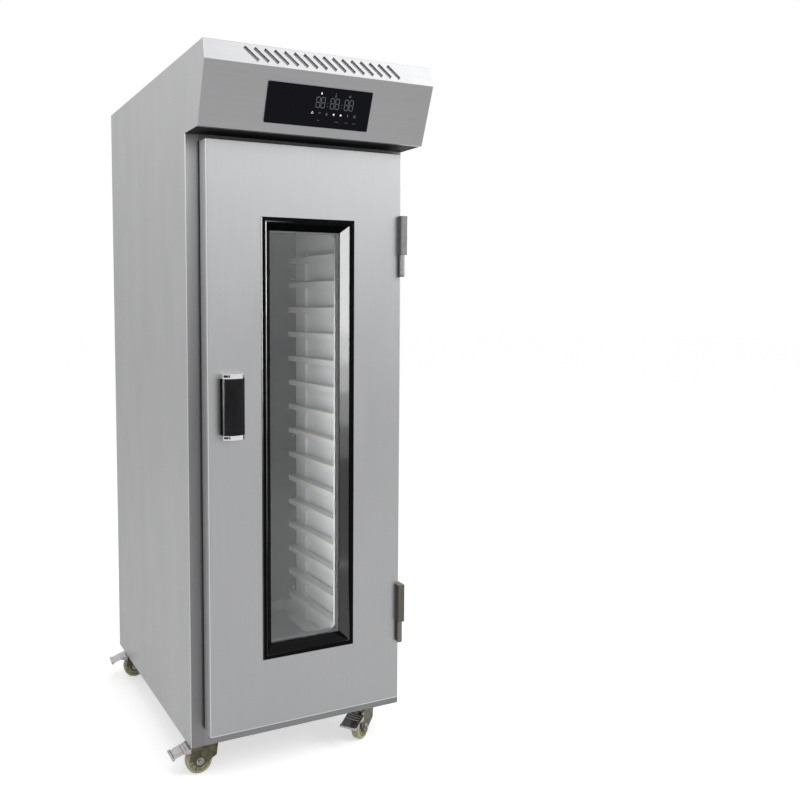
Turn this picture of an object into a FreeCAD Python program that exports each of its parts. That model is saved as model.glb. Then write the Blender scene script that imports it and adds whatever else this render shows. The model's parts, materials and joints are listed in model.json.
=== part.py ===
import FreeCAD, Part
import math
import os

V = FreeCAD.Vector

# A single-door bakery proofing cabinet on four braked swivel casters.
# All sizes are millimetres. X runs to the right, Y to the back from the body's front face, Z up from the floor.

# ---- body ----
body_width = 650.0
body_depth = 820.0
underside_height = 100.0        # floor to the underside of the body
body_height = 1638.0            # underside of the body to the underside of the head
skin = 1.0                      # outer sheet
skin_bend = 3.5                 # outside radius of the folded vertical front edges
rear_return = 16.0              # fold of the side panels that carries the back panel
base_sheet = 1.5
frame_sheet = 1.5
liner_sheet = 0.8

# ---- head ----
head_height = 200.0
chin_reach = 106.0              # how far the fascia's lower edge stands in front of the body
brow_reach = 162.0              # the same at the fold between fascia and louvred strip
crown_reach = 154.0             # the same at the roof's front edge
strip_height = 50.0
fascia_sheet = 1.2
chin_lip = 12.0
crown_return = 20.0
fold_radius = 2.0
slot_count = 16
slot_pitch = 26.9
slot_width = 9.2
slot_rise = 31.0
slot_lean = 36.0                # sideways run of one slanted slot
louvre_count = 6                # slots of the head in the back panel
louvre_pitch = 18.0
louvre_height = 6.0
louvre_length = 180.0

# ---- control panel ----
control_width = 297.0
control_height = 101.7
control_drop = 34.3             # along the fascia, from its upper fold to the glass
control_offset = -4.5           # the glass sits a little left of the middle
control_thickness = 3.0
control_overlap = 8.0           # the glass past its cut-out on each side
board_sheet = 1.6
board_standoff = 12.0
board_margin = 4.0              # glass past the board at the sides
post_width = 6.0
post_inset = 4.0                # board edge to the middle of a stand-off
chip_places = ((-90.0, 40.0), (-30.0, 30.0), (40.0, 60.0), (100.0, 24.0))     # middle and width of each component
chip_height = 34.0
chip_depth = 5.0
chip_gap = 1.0                  # board to component

# ---- door ----
door_side_margin = 36.5         # body side to door edge
door_foot_margin = 47.0         # underside of the body to the door's lower edge
door_head_gap = 16.0            # door's upper edge to the underside of the head
door_thickness = 50.0
door_gap = 10.0                 # body face to the door's inner face, filled by the gasket
door_edge_radius = 4.5
door_hem = 14.0                 # depth of the inner skin's fold inside the outer skin

# ---- window ----
window_side_margin = 150.0      # door edge to the bezel's outer edge
window_foot_margin = 188.0
window_head_margin = 193.0
bezel_width = 33.5              # outer edge of the bezel to the clear glass
bezel_rim = 10.0
bezel_proud = 3.0
bezel_depth = 26.0              # bezel face to the outer pane
bezel_wall = 3.0
bezel_bevel = 2.0
pane_thickness = 4.0
pane_gap = 12.0                 # between the two panes
pane_edge = 9.0                 # pane past the clear opening, under the bezel
lining_inset = 3.0              # inner lining inside the bezel's clear opening
lining_flange = 24.0
lining_sheet = 2.0

# ---- opening, gasket and chamber ----
opening_overlap = 17.5          # the door past the opening at the sides and foot
opening_overlap_top = 34.0
opening_depth = 40.0            # front frame, front to back
chamber_step = 14.0             # liner outside the opening's edge, all round
gasket_margin = 1.5             # opening edge to gasket
gasket_width = 14.0
running_gap = 0.3               # clearance between pieces of different moving bodies
back_wall = 45.0                # outer back to liner
duct_depth = 125.0              # liner back to the duct panel
duct_sheet = 1.2
duct_foot_gap = 80.0            # return air gap over the chamber floor
duct_fold = 15.0                # stiffening fold at the duct panel's foot
grille_reach = 4                # slots above and below the middle one
grille_pitch = 14.0
grille_slot = 8.0
grille_margin = 6.0             # fan bore to the grille's edge

# ---- tray rack ----
rail_count = 16
rail_pitch = 85.0
first_rail_rise = 34.5          # chamber floor to the top of the lowest runner
rail_width = 32.0
rail_height = 18.0
rail_sheet = 1.2
rail_length = 562.0
rail_front = 60.0               # body front face to the runners' front ends
upright_width = 30.0
upright_depth = 10.0
upright_sheet = 1.5
upright_inset = 40.0            # runner end to the nearer edge of an upright
upright_overrun = 20.0          # upright past the highest runner

# ---- handle ----
handle_edge = 32.5              # door edge to the handle
handle_width = 62.5
handle_length = 172.0
handle_reach = 34.0
handle_height = 1034.0          # floor to the middle of the handle
handle_block = 12.0             # bright end block
handle_wall = 4.0
handle_plate = 3.0
block_recess_width = 15.0       # screw recess at the left of each end block
block_recess_height = 8.0
block_recess_edge = 1.5
block_recess_floor = 19.0       # door's face to the floor of the recess

# ---- hinges ----
hinge_inset = 258.0             # door end to the middle of the nearer hinge
hinge_inboard = 1.5             # door edge to the hinge axis
hinge_forward = 8.5             # door's outer face to the hinge axis
hinge_frame_length = 58.0
hinge_door_length = 108.5
hinge_frame_radius = 8.0
hinge_pin_radius = 4.0
hinge_pin_head = 3.0
hinge_pin_engage = 92.0         # length of pin inside the door half
hinge_plate = 3.0
hinge_arm = 5.0                 # arm of the frame half, beside the door's edge
hinge_arm_gap = 2.5
hinge_foot_width = 30.0         # foot of the frame half on the body's front
hinge_cap_left = 8.5            # hinge axis to the left side of the door half
hinge_cap_right = 13.0
hinge_cap_front = 9.0
hinge_cap_depth = 44.0          # door's outer face to the rear of the door half
hinge_cap_radius = 4.0
shaft_clearance = 0.05          # radial, in every running bore

# ---- casters ----
caster_inset_x = 78.0
caster_inset_y = 54.0
caster_trail = 40.0
wheel_radius = 37.5
wheel_width = 25.0
wheel_edge_radius = 5.0
wheel_recess = 4.0
wheel_rim = 8.0                 # tyre face outside the dish
hub_radius = 10.0
axle_radius = 4.0
axle_washer_radius = 11.0
axle_washer = 1.0
axle_hex_radius = 6.0
axle_head_height = 5.0
axle_nut_height = 4.0
fork_gap = 30.0                 # inside width between the fork's legs
fork_lead = 14.0                # leg ahead of the swivel axis, at the crown
fork_taper = 6.0                # the leg's front edge draws in by this towards its shoulder
fork_back = 26.0                # leg behind the axle
fork_shoulder = 48.0            # floor to where the legs start to narrow
fork_eye_radius = 16.0
fork_sheet = 2.5
crown_sheet = 3.5
crown_drop = 9.5                # underside of the body to the crown's top
race_radius = 26.0
race_inset = 3.0                # upper race past the lower one
race_plate = 4.0
kingpin_radius = 5.0
kingpin_head = 4.0
stem_radius = 6.0
stem_length = 20.0
boss_wall = 8.0                 # weld nut in the base pan, round the stem
boss_height = 14.0
pedal_reach = 122.0             # swivel axis to the pedal's tip
pedal_width = 52.0
pedal_sheet = 2.5
pedal_shoe = ((-2.0, -3.0), (9.5, -10.5), (13.0, -8.0), (11.0, 2.0), (-2.0, 2.0))     # outline from the pivot
pedal_neck = 29.0               # axle to the start of the foot plate
pedal_neck_drop = 1.0
pedal_tip_height = 62.0         # floor to the foot plate's tip
pedal_pivot_x = 52.0            # from the swivel axis, along the trail
pedal_pivot_z = 82.0
pedal_pin_radius = 3.0
pedal_lip_radius = 4.5          # rolled edge at the tip
pedal_cheek_length = 24.0       # side folds of the foot plate, from its root
pedal_cheek_depth = 12.0
pedal_rib_radius = 1.6
pedal_rib_count = 3
pedal_rib_pitch = 8.0
pedal_rib_inset = 5.0           # plate's side to the end of a rib
caster_turns = {"fl": 179.0, "fr": 214.0, "rl": 175.0, "rr": 11.0}     # trail direction, degrees from +X

# ---- air, water, heat and light ----
fan_frame = 160.0
fan_depth = 38.0
fan_bore = 74.0
fan_drop = 100.0                # chamber ceiling to the fan's axis
fan_hub_radius = 29.0
fan_arm = 8.0
fan_arm_depth = 6.0
blade_root = 15.0
blade_chord = 22.0
blade_sheet = 1.6
blade_pitch_angle = 52.0
blade_tip_gap = 2.0
hub_setback = 3.0               # fan frame's front to the hub
fan_motor = 20.0                # depth of the motor at the back of the frame
fan_nose = 5.0                  # frame's front to the closed end of the impeller's bore
fan_blade_count = 5
fan_shaft_radius = 4.0
heater_tube_radius = 4.0
heater_bend = 20.0
heater_legs = 4
heater_length = 400.0           # chamber ceiling to the heater's lower bends
heater_pass = 180.0             # length of the inner passes
service_inset = 85.0            # chamber side to the water inlet, and to the cable gland
water_rise = 60.0               # head floor to the water inlet
inlet_radius = 13.2
inlet_length = 18.0
inlet_shoulder = 2.0
inlet_wall = 4.0
inlet_mouth = 5.0               # back panel to the floor of the inlet's mouth
valve_half = 17.0               # half the side of the valve's square body
coil_setback = 10.0             # valve's front to its coil
coil_length = 35.0
coil_height = 33.0
valve_foot = 6.0
valve_foot_setback = 50.0
valve_outlet_wall = 4.0
pipe_rise = 20.0                # head floor to the top of the spray pipe
pipe_radius = 3.0
pipe_drop = 120.0               # chamber ceiling to the spray pipe's lower run
pipe_bend = 15.0
nozzle_wall = 3.0
nozzle_length = 14.0
nozzle_clearance = 22.0         # nozzle's mouth to the heater's nearest leg
heater_end_rise = 12.0          # head floor to the heater's two ends
gland_rise = 60.0
gland_radius = 12.0
gland_bore = 5.5
gland_length = 20.0
gland_thread = 9.0
gland_flange = 14.0
gland_flange_depth = 6.0
gland_inner_length = 8.0        # thread inside the back panel
gland_tip = 8.0                 # outside radius at the dome's end
drain_radius = 10.0
drain_wall = 2.0
drain_setback = 120.0           # body back to the drain's axis
drain_spigot = 20.0             # drain below the base pan
drain_collar = 4.0              # height of the nut under the base pan
drain_flange = 8.0              # nut and flange past the pipe
drain_flange_rise = 1.5
lamp_setback = 20.0             # front frame to the lamp
lamp_length = 300.0
lamp_width = 30.0
lamp_height = 18.0
lamp_radius = 6.0
probe_x = 150.0
probe_radius = 5.0
probe_length = 60.0
probe_rise = 250.0
probe_flange = 6.0
probe_flange_depth = 3.0
screw_pitch = 240.0
screw_radius = 2.0
screw_tip = 1.0                 # screw past the side panel's fold
box_x = 140.0                   # middle of the power box
box_y = 370.0
box_width = 200.0
box_depth = 140.0
box_height = 74.0
box_lid = 4.0

# ---- places worked out from the sizes above ----
half = body_width / 2
inner_half = half - skin
z_under = underside_height
z_head = z_under + body_height
z_roof = z_head + head_height
z_brow = z_roof - strip_height
door_half = half - door_side_margin
door_bottom = z_under + door_foot_margin
door_top = z_head - door_head_gap
door_back = -door_gap
door_front = door_back - door_thickness
opening_half = door_half - opening_overlap
opening_bottom = door_bottom + opening_overlap
opening_top = door_top - opening_overlap_top
chamber_half = opening_half + chamber_step
chamber_floor = opening_bottom - chamber_step
chamber_ceiling = opening_top + chamber_step
liner_back_y = body_depth - back_wall
duct_y = liner_back_y - duct_depth
glass_half = door_half - window_side_margin - bezel_width
glass_low = door_bottom + window_foot_margin + bezel_width
glass_high = door_top - window_head_margin - bezel_width
pane_y = door_front - bezel_proud + bezel_depth
second_pane_y = pane_y + pane_thickness + pane_gap
lining_y = second_pane_y + pane_thickness
head_floor_z = z_head + fascia_sheet
head_floor_top = head_floor_z + fascia_sheet
hinge_x = door_half - hinge_inboard
hinge_y = door_front - hinge_forward
fan_z = chamber_ceiling - fan_drop
fan_y = duct_y + duct_sheet
rail_outer = chamber_half - upright_depth
rail_inner = rail_outer - rail_width
drain_y = body_depth - drain_setback
heater_y = (fan_y + fan_depth + liner_back_y) / 2
water_x = -chamber_half + service_inset
gland_x = chamber_half - service_inset
water_z = head_floor_top + water_rise
gland_z = head_floor_top + gland_rise
pipe_top = head_floor_top + pipe_rise
duct_low = chamber_floor + duct_foot_gap
rail_rear = rail_front + rail_length
leg_inside = fork_gap / 2
leg_outside = leg_inside + fork_sheet
crown_top = z_under - crown_drop
crown_under = crown_top - crown_sheet
caster_names = ["fl", "fr", "rl", "rr"]


def caster_place(name):
    """Swivel axis of one caster, as X and Y."""
    x = half - caster_inset_x
    return (-x if name[1] == "l" else x, caster_inset_y if name[0] == "f" else body_depth - caster_inset_y)


# ---- shape helpers ----
def box(x0, x1, y0, y1, z0, z1):
    return Part.makeBox(x1 - x0, y1 - y0, z1 - z0, V(x0, y0, z0))


def rod(radius, start, end):
    """Round bar between two points."""
    start, end = V(*start), V(*end)
    return Part.makeCylinder(radius, (end - start).Length, start, end - start)


def mirrored(shape):
    """The same piece for the other side of the cabinet."""
    return shape.mirror(V(0, 0, 0), V(1, 0, 0))


def face_of(points):
    return Part.Face(Part.makePolygon(points + [points[0]]))


def extrude_x(outline, x0, x1):
    """Solid from a closed outline of (Y, Z) points."""
    return face_of([V(x0, y, z) for y, z in outline]).extrude(V(x1 - x0, 0, 0))


def offset_line(points, distance):
    """Open line of 2-D points moved to its left by a distance, with mitred corners."""
    moved = []
    for i, (a, b) in enumerate(points):
        before = points[i - 1] if i > 0 else None
        after = points[i + 1] if i < len(points) - 1 else None
        normals = []
        for p, q in ((before, (a, b)), ((a, b), after)):
            if p is not None and q is not None:
                length = math.hypot(q[0] - p[0], q[1] - p[1])
                normals.append((-(q[1] - p[1]) / length, (q[0] - p[0]) / length))
        nx = sum(n[0] for n in normals)
        ny = sum(n[1] for n in normals)
        scale = distance / ((nx * normals[0][0]) + (ny * normals[0][1]))
        moved.append((a + nx * scale, b + ny * scale))
    return moved


def sheet_section(points, thickness):
    """Closed outline of a folded sheet whose left side lies inside."""
    return points + offset_line(points, thickness)[::-1]


def mitred_frame(section, half_width, z_low, z_high):
    """Rectangular ring with mitred corners. The section holds (out, Y) points, out from the rectangle."""
    faces = []
    for (out_a, y_a), (out_b, y_b) in zip(section, section[1:] + section[:1]):
        rings = []
        for out, y in ((out_a, y_a), (out_b, y_b)):
            x, low, high = half_width + out, z_low - out, z_high + out
            rings.append([V(-x, y, low), V(x, y, low), V(x, y, high), V(-x, y, high)])
        for k in range(4):
            n = (k + 1) % 4
            faces.append(face_of([rings[0][k], rings[0][n], rings[1][n], rings[1][k]]))
    solid = Part.makeSolid(Part.makeShell(faces))
    if solid.Volume < 0:
        solid.reverse()
    return solid


def rounded(shape, radius, wanted):
    """Fillet of the straight edges whose middle point passes a test."""
    edges = [e for e in shape.Edges if wanted(e.CenterOfMass, e)]
    return shape.makeFillet(radius, edges) if edges else shape


def runs_along(edge, axis):
    """True where a straight edge runs along one axis."""
    run = edge.Vertexes[-1].Point - edge.Vertexes[0].Point
    return run.Length > 0.1 and abs(run.dot(axis)) > 0.999 * run.Length


def fused(pieces):
    return pieces[0].multiFuse(pieces[1:]).removeSplitter()


def group(pieces):
    """Separate identical solids that share one node."""
    return Part.makeCompound(pieces)


# ---- outer casing ----
def screw_places():
    """Centres of the back panel's screws, as (X, Z)."""
    usable = body_height + head_height - rear_return * 2
    count = int(usable // screw_pitch) + 1
    step = usable / (count - 1)
    x = inner_half - rear_return / 2
    return [(side * x, z_under + rear_return + step * k) for side in (-1, 1) for k in range(count)]


def screw_holes():
    low, high = body_depth - skin - screw_tip, body_depth + 2 * skin
    return [rod(screw_radius, (x, low, z), (x, high, z)) for x, z in screw_places()]


def right_side_panel():
    """One sheet for body side and head side, folded round the front edge and at the back."""
    outline = [(skin_bend, z_under), (body_depth, z_under), (body_depth, z_roof), (-crown_reach, z_roof),
               (-brow_reach, z_brow), (-chin_reach, z_head), (skin_bend, z_head)]
    sheet = extrude_x(outline, inner_half, half)
    corner_x = half - skin_bend
    corner = Part.makeCylinder(skin_bend, body_height, V(corner_x, skin_bend, z_under))
    corner = corner.cut(Part.makeCylinder(skin_bend - skin, body_height, V(corner_x, skin_bend, z_under)))
    corner = corner.common(box(corner_x, half, 0, skin_bend, z_under, z_head))
    front = box(door_half + running_gap, corner_x, 0, skin, z_under, z_head)
    rear = box(inner_half - rear_return, inner_half, body_depth - skin, body_depth, z_under, z_roof)
    return fused([sheet, corner, front, rear]).cut(group(screw_holes()))


def back_panel():
    """Flat rear sheet with louvre slots for the head and holes for water and power."""
    front, rear, reach = body_depth - skin, body_depth + 2 * skin, louvre_length / 2
    sheet = box(-inner_half, inner_half, body_depth, body_depth + skin, z_under + 2 * skin, z_roof - 2 * skin)
    cuts = screw_holes()
    middle = z_head + head_height / 2
    for k in range(louvre_count):
        z = middle + (k - (louvre_count - 1) / 2) * louvre_pitch
        cuts.append(box(-reach, reach, front, rear, z - louvre_height / 2, z + louvre_height / 2))
    cuts.append(rod(inlet_radius + inlet_shoulder, (water_x, front, water_z), (water_x, rear, water_z)))
    cuts.append(rod(gland_thread, (gland_x, front, gland_z), (gland_x, rear, gland_z)))
    return sheet.cut(group(cuts))


def panel_screws():
    screws = []
    for x, z in screw_places():
        head = rod(2 * screw_radius, (x, body_depth + skin, z), (x, body_depth + skin + screw_radius, z))
        shank = rod(screw_radius, (x, body_depth - skin - screw_tip, z), (x, body_depth + skin, z))
        screws.append(fused([head, shank]))
    return group(screws)


def base_pan():
    """Bottom sheet with a threaded boss over each caster stem."""
    pieces = [box(-inner_half, inner_half, skin_bend, body_depth - skin, z_under, z_under + base_sheet)]
    holes = []
    for name in caster_names:
        x, y = caster_place(name)
        pieces.append(rod(stem_radius + boss_wall, (x, y, z_under), (x, y, z_under + base_sheet + boss_height)))
        holes.append(rod(stem_radius, (x, y, z_under - 1), (x, y, z_under + base_sheet + boss_height + 1)))
    holes.append(rod(drain_radius, (0, drain_y, z_under - 1), (0, drain_y, z_under + base_sheet + 1)))
    return fused(pieces).cut(group(holes))


def head_floor():
    """Black plate under the head, which is also the floor of the control compartment."""
    plate = box(-inner_half, inner_half, -chin_reach + 2, body_depth - skin, head_floor_z, head_floor_top)
    return plate.cut(group(ceiling_passages()))


def roof_panel():
    front, rear = crown_return - crown_reach, body_depth - skin
    return box(-inner_half, inner_half, front, rear, z_roof - fascia_sheet, z_roof)


def slope_frame(lower, upper):
    """Axes on a slanted sheet from two (Y, Z) points: along X, up the slope, and out of the face."""
    up = V(0, upper[0] - lower[0], upper[1] - lower[1])
    up.normalize()
    return V(1, 0, 0), up, V(1, 0, 0).cross(up)


def slab_on(origin, axes, centre, size, turn=0.0):
    """Box of (along, up, out) size on a slanted sheet. It stands out from centre, turned in the sheet."""
    along, up, out = axes
    slab = Part.makeBox(*size, V(-size[0] / 2, -size[1] / 2, 0))
    slab.rotate(V(0, 0, 0), V(0, 0, 1), turn)
    slab.Placement = FreeCAD.Placement(
        origin + along * centre[0] + up * centre[1] + out * centre[2],
        FreeCAD.Rotation(along, up, out, "ZXY")).multiply(slab.Placement)
    return slab


fascia_axes = slope_frame((-chin_reach, z_head), (-brow_reach, z_brow))
strip_axes = slope_frame((-brow_reach, z_brow), (-crown_reach, z_roof))
brow_point = V(0, -brow_reach, z_brow)
control_centre = -(control_drop + control_height / 2)


def head_fascia():
    """Folded front of the head: chin lip, slanted fascia, louvred strip and return under the roof."""
    fold_line = [(-chin_reach + chin_lip, z_head), (-chin_reach, z_head), (-brow_reach, z_brow),
                 (-crown_reach, z_roof), (-crown_reach + crown_return, z_roof)]
    hood = extrude_x(sheet_section(fold_line[::-1], fascia_sheet), -inner_half, inner_half)

    def on_fold(middle, edge):
        return runs_along(edge, V(1, 0, 0)) and any(
            math.hypot(middle.y - y, middle.z - z) < 0.01 for y, z in fold_line[1:4])

    hood = rounded(hood, fold_radius, on_fold)
    lean = math.degrees(math.atan2(slot_lean, slot_rise))
    size = (slot_width, math.hypot(slot_lean, slot_rise), 6.0)
    cuts = []
    for k in range(slot_count):
        x = (k - (slot_count - 1) / 2) * slot_pitch
        cuts.append(slab_on(brow_point, strip_axes, (x, strip_height / 2, -3.0), size, lean))
    cuts.append(slab_on(brow_point, fascia_axes, (control_offset, control_centre, -4.0),
                        (control_width - 2 * control_overlap, control_height - 2 * control_overlap, 8.0)))
    return hood.cut(group(cuts))


def control_glass():
    """Touch glass glued to the face of the fascia."""
    slab = slab_on(brow_point, fascia_axes, (control_offset, control_centre, 0),
                   (control_width, control_height, control_thickness))
    out = fascia_axes[2]
    return rounded(slab, control_thickness, lambda middle, edge: runs_along(edge, out))


def control_board():
    """Circuit board on stand-offs behind the control glass."""
    width, height = control_width - 2 * board_margin, control_height - board_margin / 2
    back = -fascia_sheet - board_standoff

    def on_board(x, rise, depth, size):
        return slab_on(brow_point, fascia_axes, (control_offset + x, control_centre + rise, depth), size)

    pieces = [on_board(0, 0, back - board_sheet, (width, height, board_sheet))]
    for side in (-1, 1):
        for end in (-1, 1):
            x, rise = side * (width / 2 - post_inset), end * (height / 2 - post_inset)
            pieces.append(on_board(x, rise, back, (post_width, post_width, board_standoff)))
    for x, chip_width in chip_places:
        pieces.append(on_board(x, 0, back - chip_depth - chip_gap, (chip_width, chip_height, chip_depth)))
    return fused(pieces)


# ---- front frame, liner and insulation ----
def face_frame():
    """Welded frame round the chamber opening, folded back to meet the liner."""
    front = box(-door_half, door_half, 0, frame_sheet, z_under, head_floor_z)
    front = front.cut(box(-opening_half, opening_half, -1, frame_sheet + 1, opening_bottom, opening_top))
    section = [(0, 0), (frame_sheet, 0), (frame_sheet, opening_depth - frame_sheet),
               (chamber_step, opening_depth - frame_sheet), (chamber_step, opening_depth), (0, opening_depth)]
    return fused([front, mitred_frame(section, opening_half, opening_bottom, opening_top)])


def liner_side():
    edge = chamber_half + liner_sheet
    return box(chamber_half, edge, opening_depth, liner_back_y, chamber_floor, chamber_ceiling)


def liner_back():
    edge = chamber_half + liner_sheet
    low, high = chamber_floor - liner_sheet, chamber_ceiling + liner_sheet
    return box(-edge, edge, liner_back_y, liner_back_y + liner_sheet, low, high)


def liner_floor():
    edge = chamber_half + liner_sheet
    plate = box(-edge, edge, opening_depth, liner_back_y, chamber_floor - liner_sheet, chamber_floor)
    return plate.cut(rod(drain_radius, (0, drain_y, chamber_floor - 2), (0, drain_y, chamber_floor + 2)))


def ceiling_passages():
    """Everything that runs up through the ceiling: the heater's two ends and the spray pipe."""
    low, high = chamber_ceiling - 5, head_floor_top + 5
    heater_ends = heater_leg_places()[::heater_legs - 1]
    rods = [rod(heater_tube_radius, (x, heater_y, low), (x, heater_y, high)) for x in heater_ends]
    rods.append(rod(pipe_radius, (water_x, heater_y, low), (water_x, heater_y, high)))
    return rods


def liner_ceiling():
    edge = chamber_half + liner_sheet
    plate = box(-edge, edge, opening_depth, liner_back_y, chamber_ceiling, chamber_ceiling + liner_sheet)
    return plate.cut(group(ceiling_passages()))


def insulation_foam():
    """Foam poured between casing and liner, open at the front."""
    rear = body_depth - skin - screw_tip
    block = box(-inner_half, inner_half, skin_bend, rear, z_under + base_sheet, head_floor_z)
    edge = chamber_half + liner_sheet
    sleeve = opening_half + frame_sheet
    sleeve_low, sleeve_high = opening_bottom - frame_sheet, opening_top + frame_sheet
    low, high = chamber_floor - liner_sheet, chamber_ceiling + liner_sheet
    cuts = [box(-sleeve, sleeve, 0, opening_depth, sleeve_low, sleeve_high),
            box(-edge, edge, opening_depth - frame_sheet, liner_back_y + liner_sheet, low, high)]
    for name in caster_names:
        x, y = caster_place(name)
        cuts.append(rod(stem_radius + boss_wall, (x, y, z_under), (x, y, z_under + stem_length)))
    cuts.append(rod(drain_radius, (0, drain_y, z_under), (0, drain_y, chamber_floor)))
    return block.cut(group(cuts + ceiling_passages()))


# ---- tray rack ----
def rail_places():
    """Top heights of the tray runners."""
    return [chamber_floor + first_rail_rise + k * rail_pitch for k in range(rail_count)]


def tray_rail(top):
    """Inverted channel that carries one edge of a tray."""
    low = top - rail_height
    outer = box(rail_inner, rail_outer, rail_front, rail_rear, low, top)
    hollow = box(rail_inner + rail_sheet, rail_outer - rail_sheet, rail_front - 1, rail_rear + 1,
                 low - 1, top - rail_sheet)
    return outer.cut(hollow)


def tray_rails():
    right = [tray_rail(top) for top in rail_places()]
    return group(right + [mirrored(rail) for rail in right])


def rack_uprights():
    """Four channel posts on the liner, two a side."""
    low, high = chamber_floor, rail_places()[-1] + upright_overrun
    posts = []
    for front in (rail_front + upright_inset, rail_rear - upright_inset - upright_width):
        rear = front + upright_width
        post = box(rail_outer, chamber_half, front, rear, low, high)
        hollow = box(rail_outer + upright_sheet, chamber_half + 1, front + upright_sheet, rear - upright_sheet,
                     low - 1, high + 1)
        posts.append(post.cut(hollow))
    return group(posts + [mirrored(post) for post in posts])


# ---- air duct, fan, heater, water and light ----
def duct_panel():
    """Rear panel inside the chamber, with a slotted grille before the fan."""
    sheet = box(-chamber_half, chamber_half, duct_y, duct_y + duct_sheet, duct_low, chamber_ceiling)
    foot = box(-chamber_half, chamber_half, duct_y, duct_y + duct_fold, duct_low, duct_low + duct_sheet)
    cuts = []
    for k in range(-grille_reach, grille_reach + 1):
        rise = k * grille_pitch
        reach = math.sqrt((fan_bore - grille_margin) ** 2 - rise ** 2)
        low, high = fan_z + rise - grille_slot / 2, fan_z + rise + grille_slot / 2
        cuts.append(box(-reach, reach, duct_y - 1, duct_y + 2 * duct_sheet, low, high))
    return fused([sheet, foot]).cut(group(cuts))


def fan_housing():
    """Square fan frame with the motor held on four arms."""
    back = fan_y + fan_depth
    side, arm, reach = fan_frame / 2, fan_arm / 2, fan_bore + 1
    frame = box(-side, side, fan_y, back, fan_z - side, fan_z + side)
    frame = frame.cut(rod(fan_bore, (0, fan_y - 1, fan_z), (0, back + 1, fan_z)))
    arms = [box(-reach, reach, back - fan_arm_depth, back, fan_z - arm, fan_z + arm),
            box(-arm, arm, back - fan_arm_depth, back, fan_z - reach, fan_z + reach)]
    motor = rod(fan_hub_radius, (0, back - fan_motor, fan_z), (0, back, fan_z))
    shaft = rod(fan_shaft_radius, (0, fan_y + fan_nose + running_gap, fan_z), (0, back - fan_motor, fan_z))
    return fused([frame, motor, shaft] + arms)


def fan_impeller():
    """Hub and pitched blades on the motor's shaft."""
    front, rear = fan_y + hub_setback, fan_y + fan_depth - fan_motor - running_gap
    hub = rod(fan_hub_radius, (0, front, fan_z), (0, rear, fan_z))
    blade = Part.makeBox(fan_bore - blade_tip_gap - blade_root, blade_sheet, blade_chord,
                         V(blade_root, -blade_sheet / 2, -blade_chord / 2))
    blade.rotate(V(0, 0, 0), V(1, 0, 0), blade_pitch_angle)
    blades = []
    for k in range(fan_blade_count):
        copy = blade.copy()
        copy.rotate(V(0, 0, 0), V(0, 1, 0), k * 360.0 / fan_blade_count)
        copy.translate(V(0, (front + rear) / 2, fan_z))
        blades.append(copy)
    bore = rod(fan_shaft_radius + shaft_clearance, (0, fan_y + fan_nose, fan_z), (0, rear + 1, fan_z))
    swept = rod(fan_bore - blade_tip_gap, (0, front, fan_z), (0, rear, fan_z))
    return fused([hub] + blades).common(swept).cut(bore)


def heater_leg_places():
    """X of the heater's parallel legs."""
    return [(k - (heater_legs - 1) / 2) * 2 * heater_bend for k in range(heater_legs)]


def tube_along(edges, radius, start, direction):
    """Round tube swept along joined edges."""
    profile = Part.Wire(Part.makeCircle(radius, start, direction))
    return Part.Wire(edges).makePipeShell([profile], True, True)


def heater_element():
    """Serpentine tubular heater that hangs from the ceiling in the duct."""
    xs = heater_leg_places()
    low = chamber_ceiling - heater_length + heater_bend
    high = low + heater_pass
    end = head_floor_top + heater_end_rise
    start = V(xs[0], heater_y, end)
    here = start
    edges = []
    for k, x in enumerate(xs):
        down = k % 2 == 0
        last = k == len(xs) - 1
        target = V(x, heater_y, end if last else (low if down else high))
        edges.append(Part.LineSegment(here, target).toShape())
        if not last:
            dip = -heater_bend if down else heater_bend
            middle = V(x + heater_bend, heater_y, target.z + dip)
            far = V(xs[k + 1], heater_y, target.z)
            edges.append(Part.Arc(target, middle, far).toShape())
            here = far
    return tube_along(edges, heater_tube_radius, start, V(0, 0, -1))


def water_valve():
    """Inlet valve behind the back panel, with its threaded inlet outside and its outlet over the spray pipe."""
    front = heater_y - valve_half
    low, high = water_z - valve_half, water_z + valve_half
    left, right = water_x - valve_half, water_x + valve_half
    outside = body_depth + skin
    end = outside + inlet_length
    coil_front, foot_front = front + coil_setback, front + valve_foot_setback
    pieces = [box(left, right, front, body_depth, low, high),
              box(left, right, coil_front, coil_front + coil_length, high, high + coil_height),
              box(left, right, foot_front, foot_front + valve_foot, head_floor_top, water_z),
              rod(inlet_radius + inlet_shoulder, (water_x, body_depth, water_z), (water_x, outside, water_z)),
              rod(inlet_radius, (water_x, outside, water_z), (water_x, end, water_z)),
              rod(pipe_radius + valve_outlet_wall, (water_x, heater_y, pipe_top), (water_x, heater_y, water_z))]
    mouth = rod(inlet_radius - inlet_wall, (water_x, outside + inlet_mouth, water_z), (water_x, end + 1, water_z))
    return fused(pieces).cut(mouth)


def spray_pipe():
    """Thin pipe down through the ceiling that ends in a nozzle under the fan."""
    start = V(water_x, heater_y, pipe_top)
    low = chamber_ceiling - pipe_drop
    down = V(water_x, heater_y, low + pipe_bend)
    side = V(water_x + pipe_bend, heater_y, low)
    mouth_x = heater_leg_places()[0] - heater_tube_radius - nozzle_clearance
    end = V(mouth_x - nozzle_length, heater_y, low)
    sag = pipe_bend * (1 - math.sqrt(0.5))
    middle = V(water_x + sag, heater_y, low + sag)
    edges = [Part.LineSegment(start, down).toShape(), Part.Arc(down, middle, side).toShape(),
             Part.LineSegment(side, end).toShape()]
    pipe = tube_along(edges, pipe_radius, start, V(0, 0, -1))
    nozzle = rod(pipe_radius + nozzle_wall, (end.x, heater_y, low), (mouth_x, heater_y, low))
    return fused([pipe, nozzle])


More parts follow.
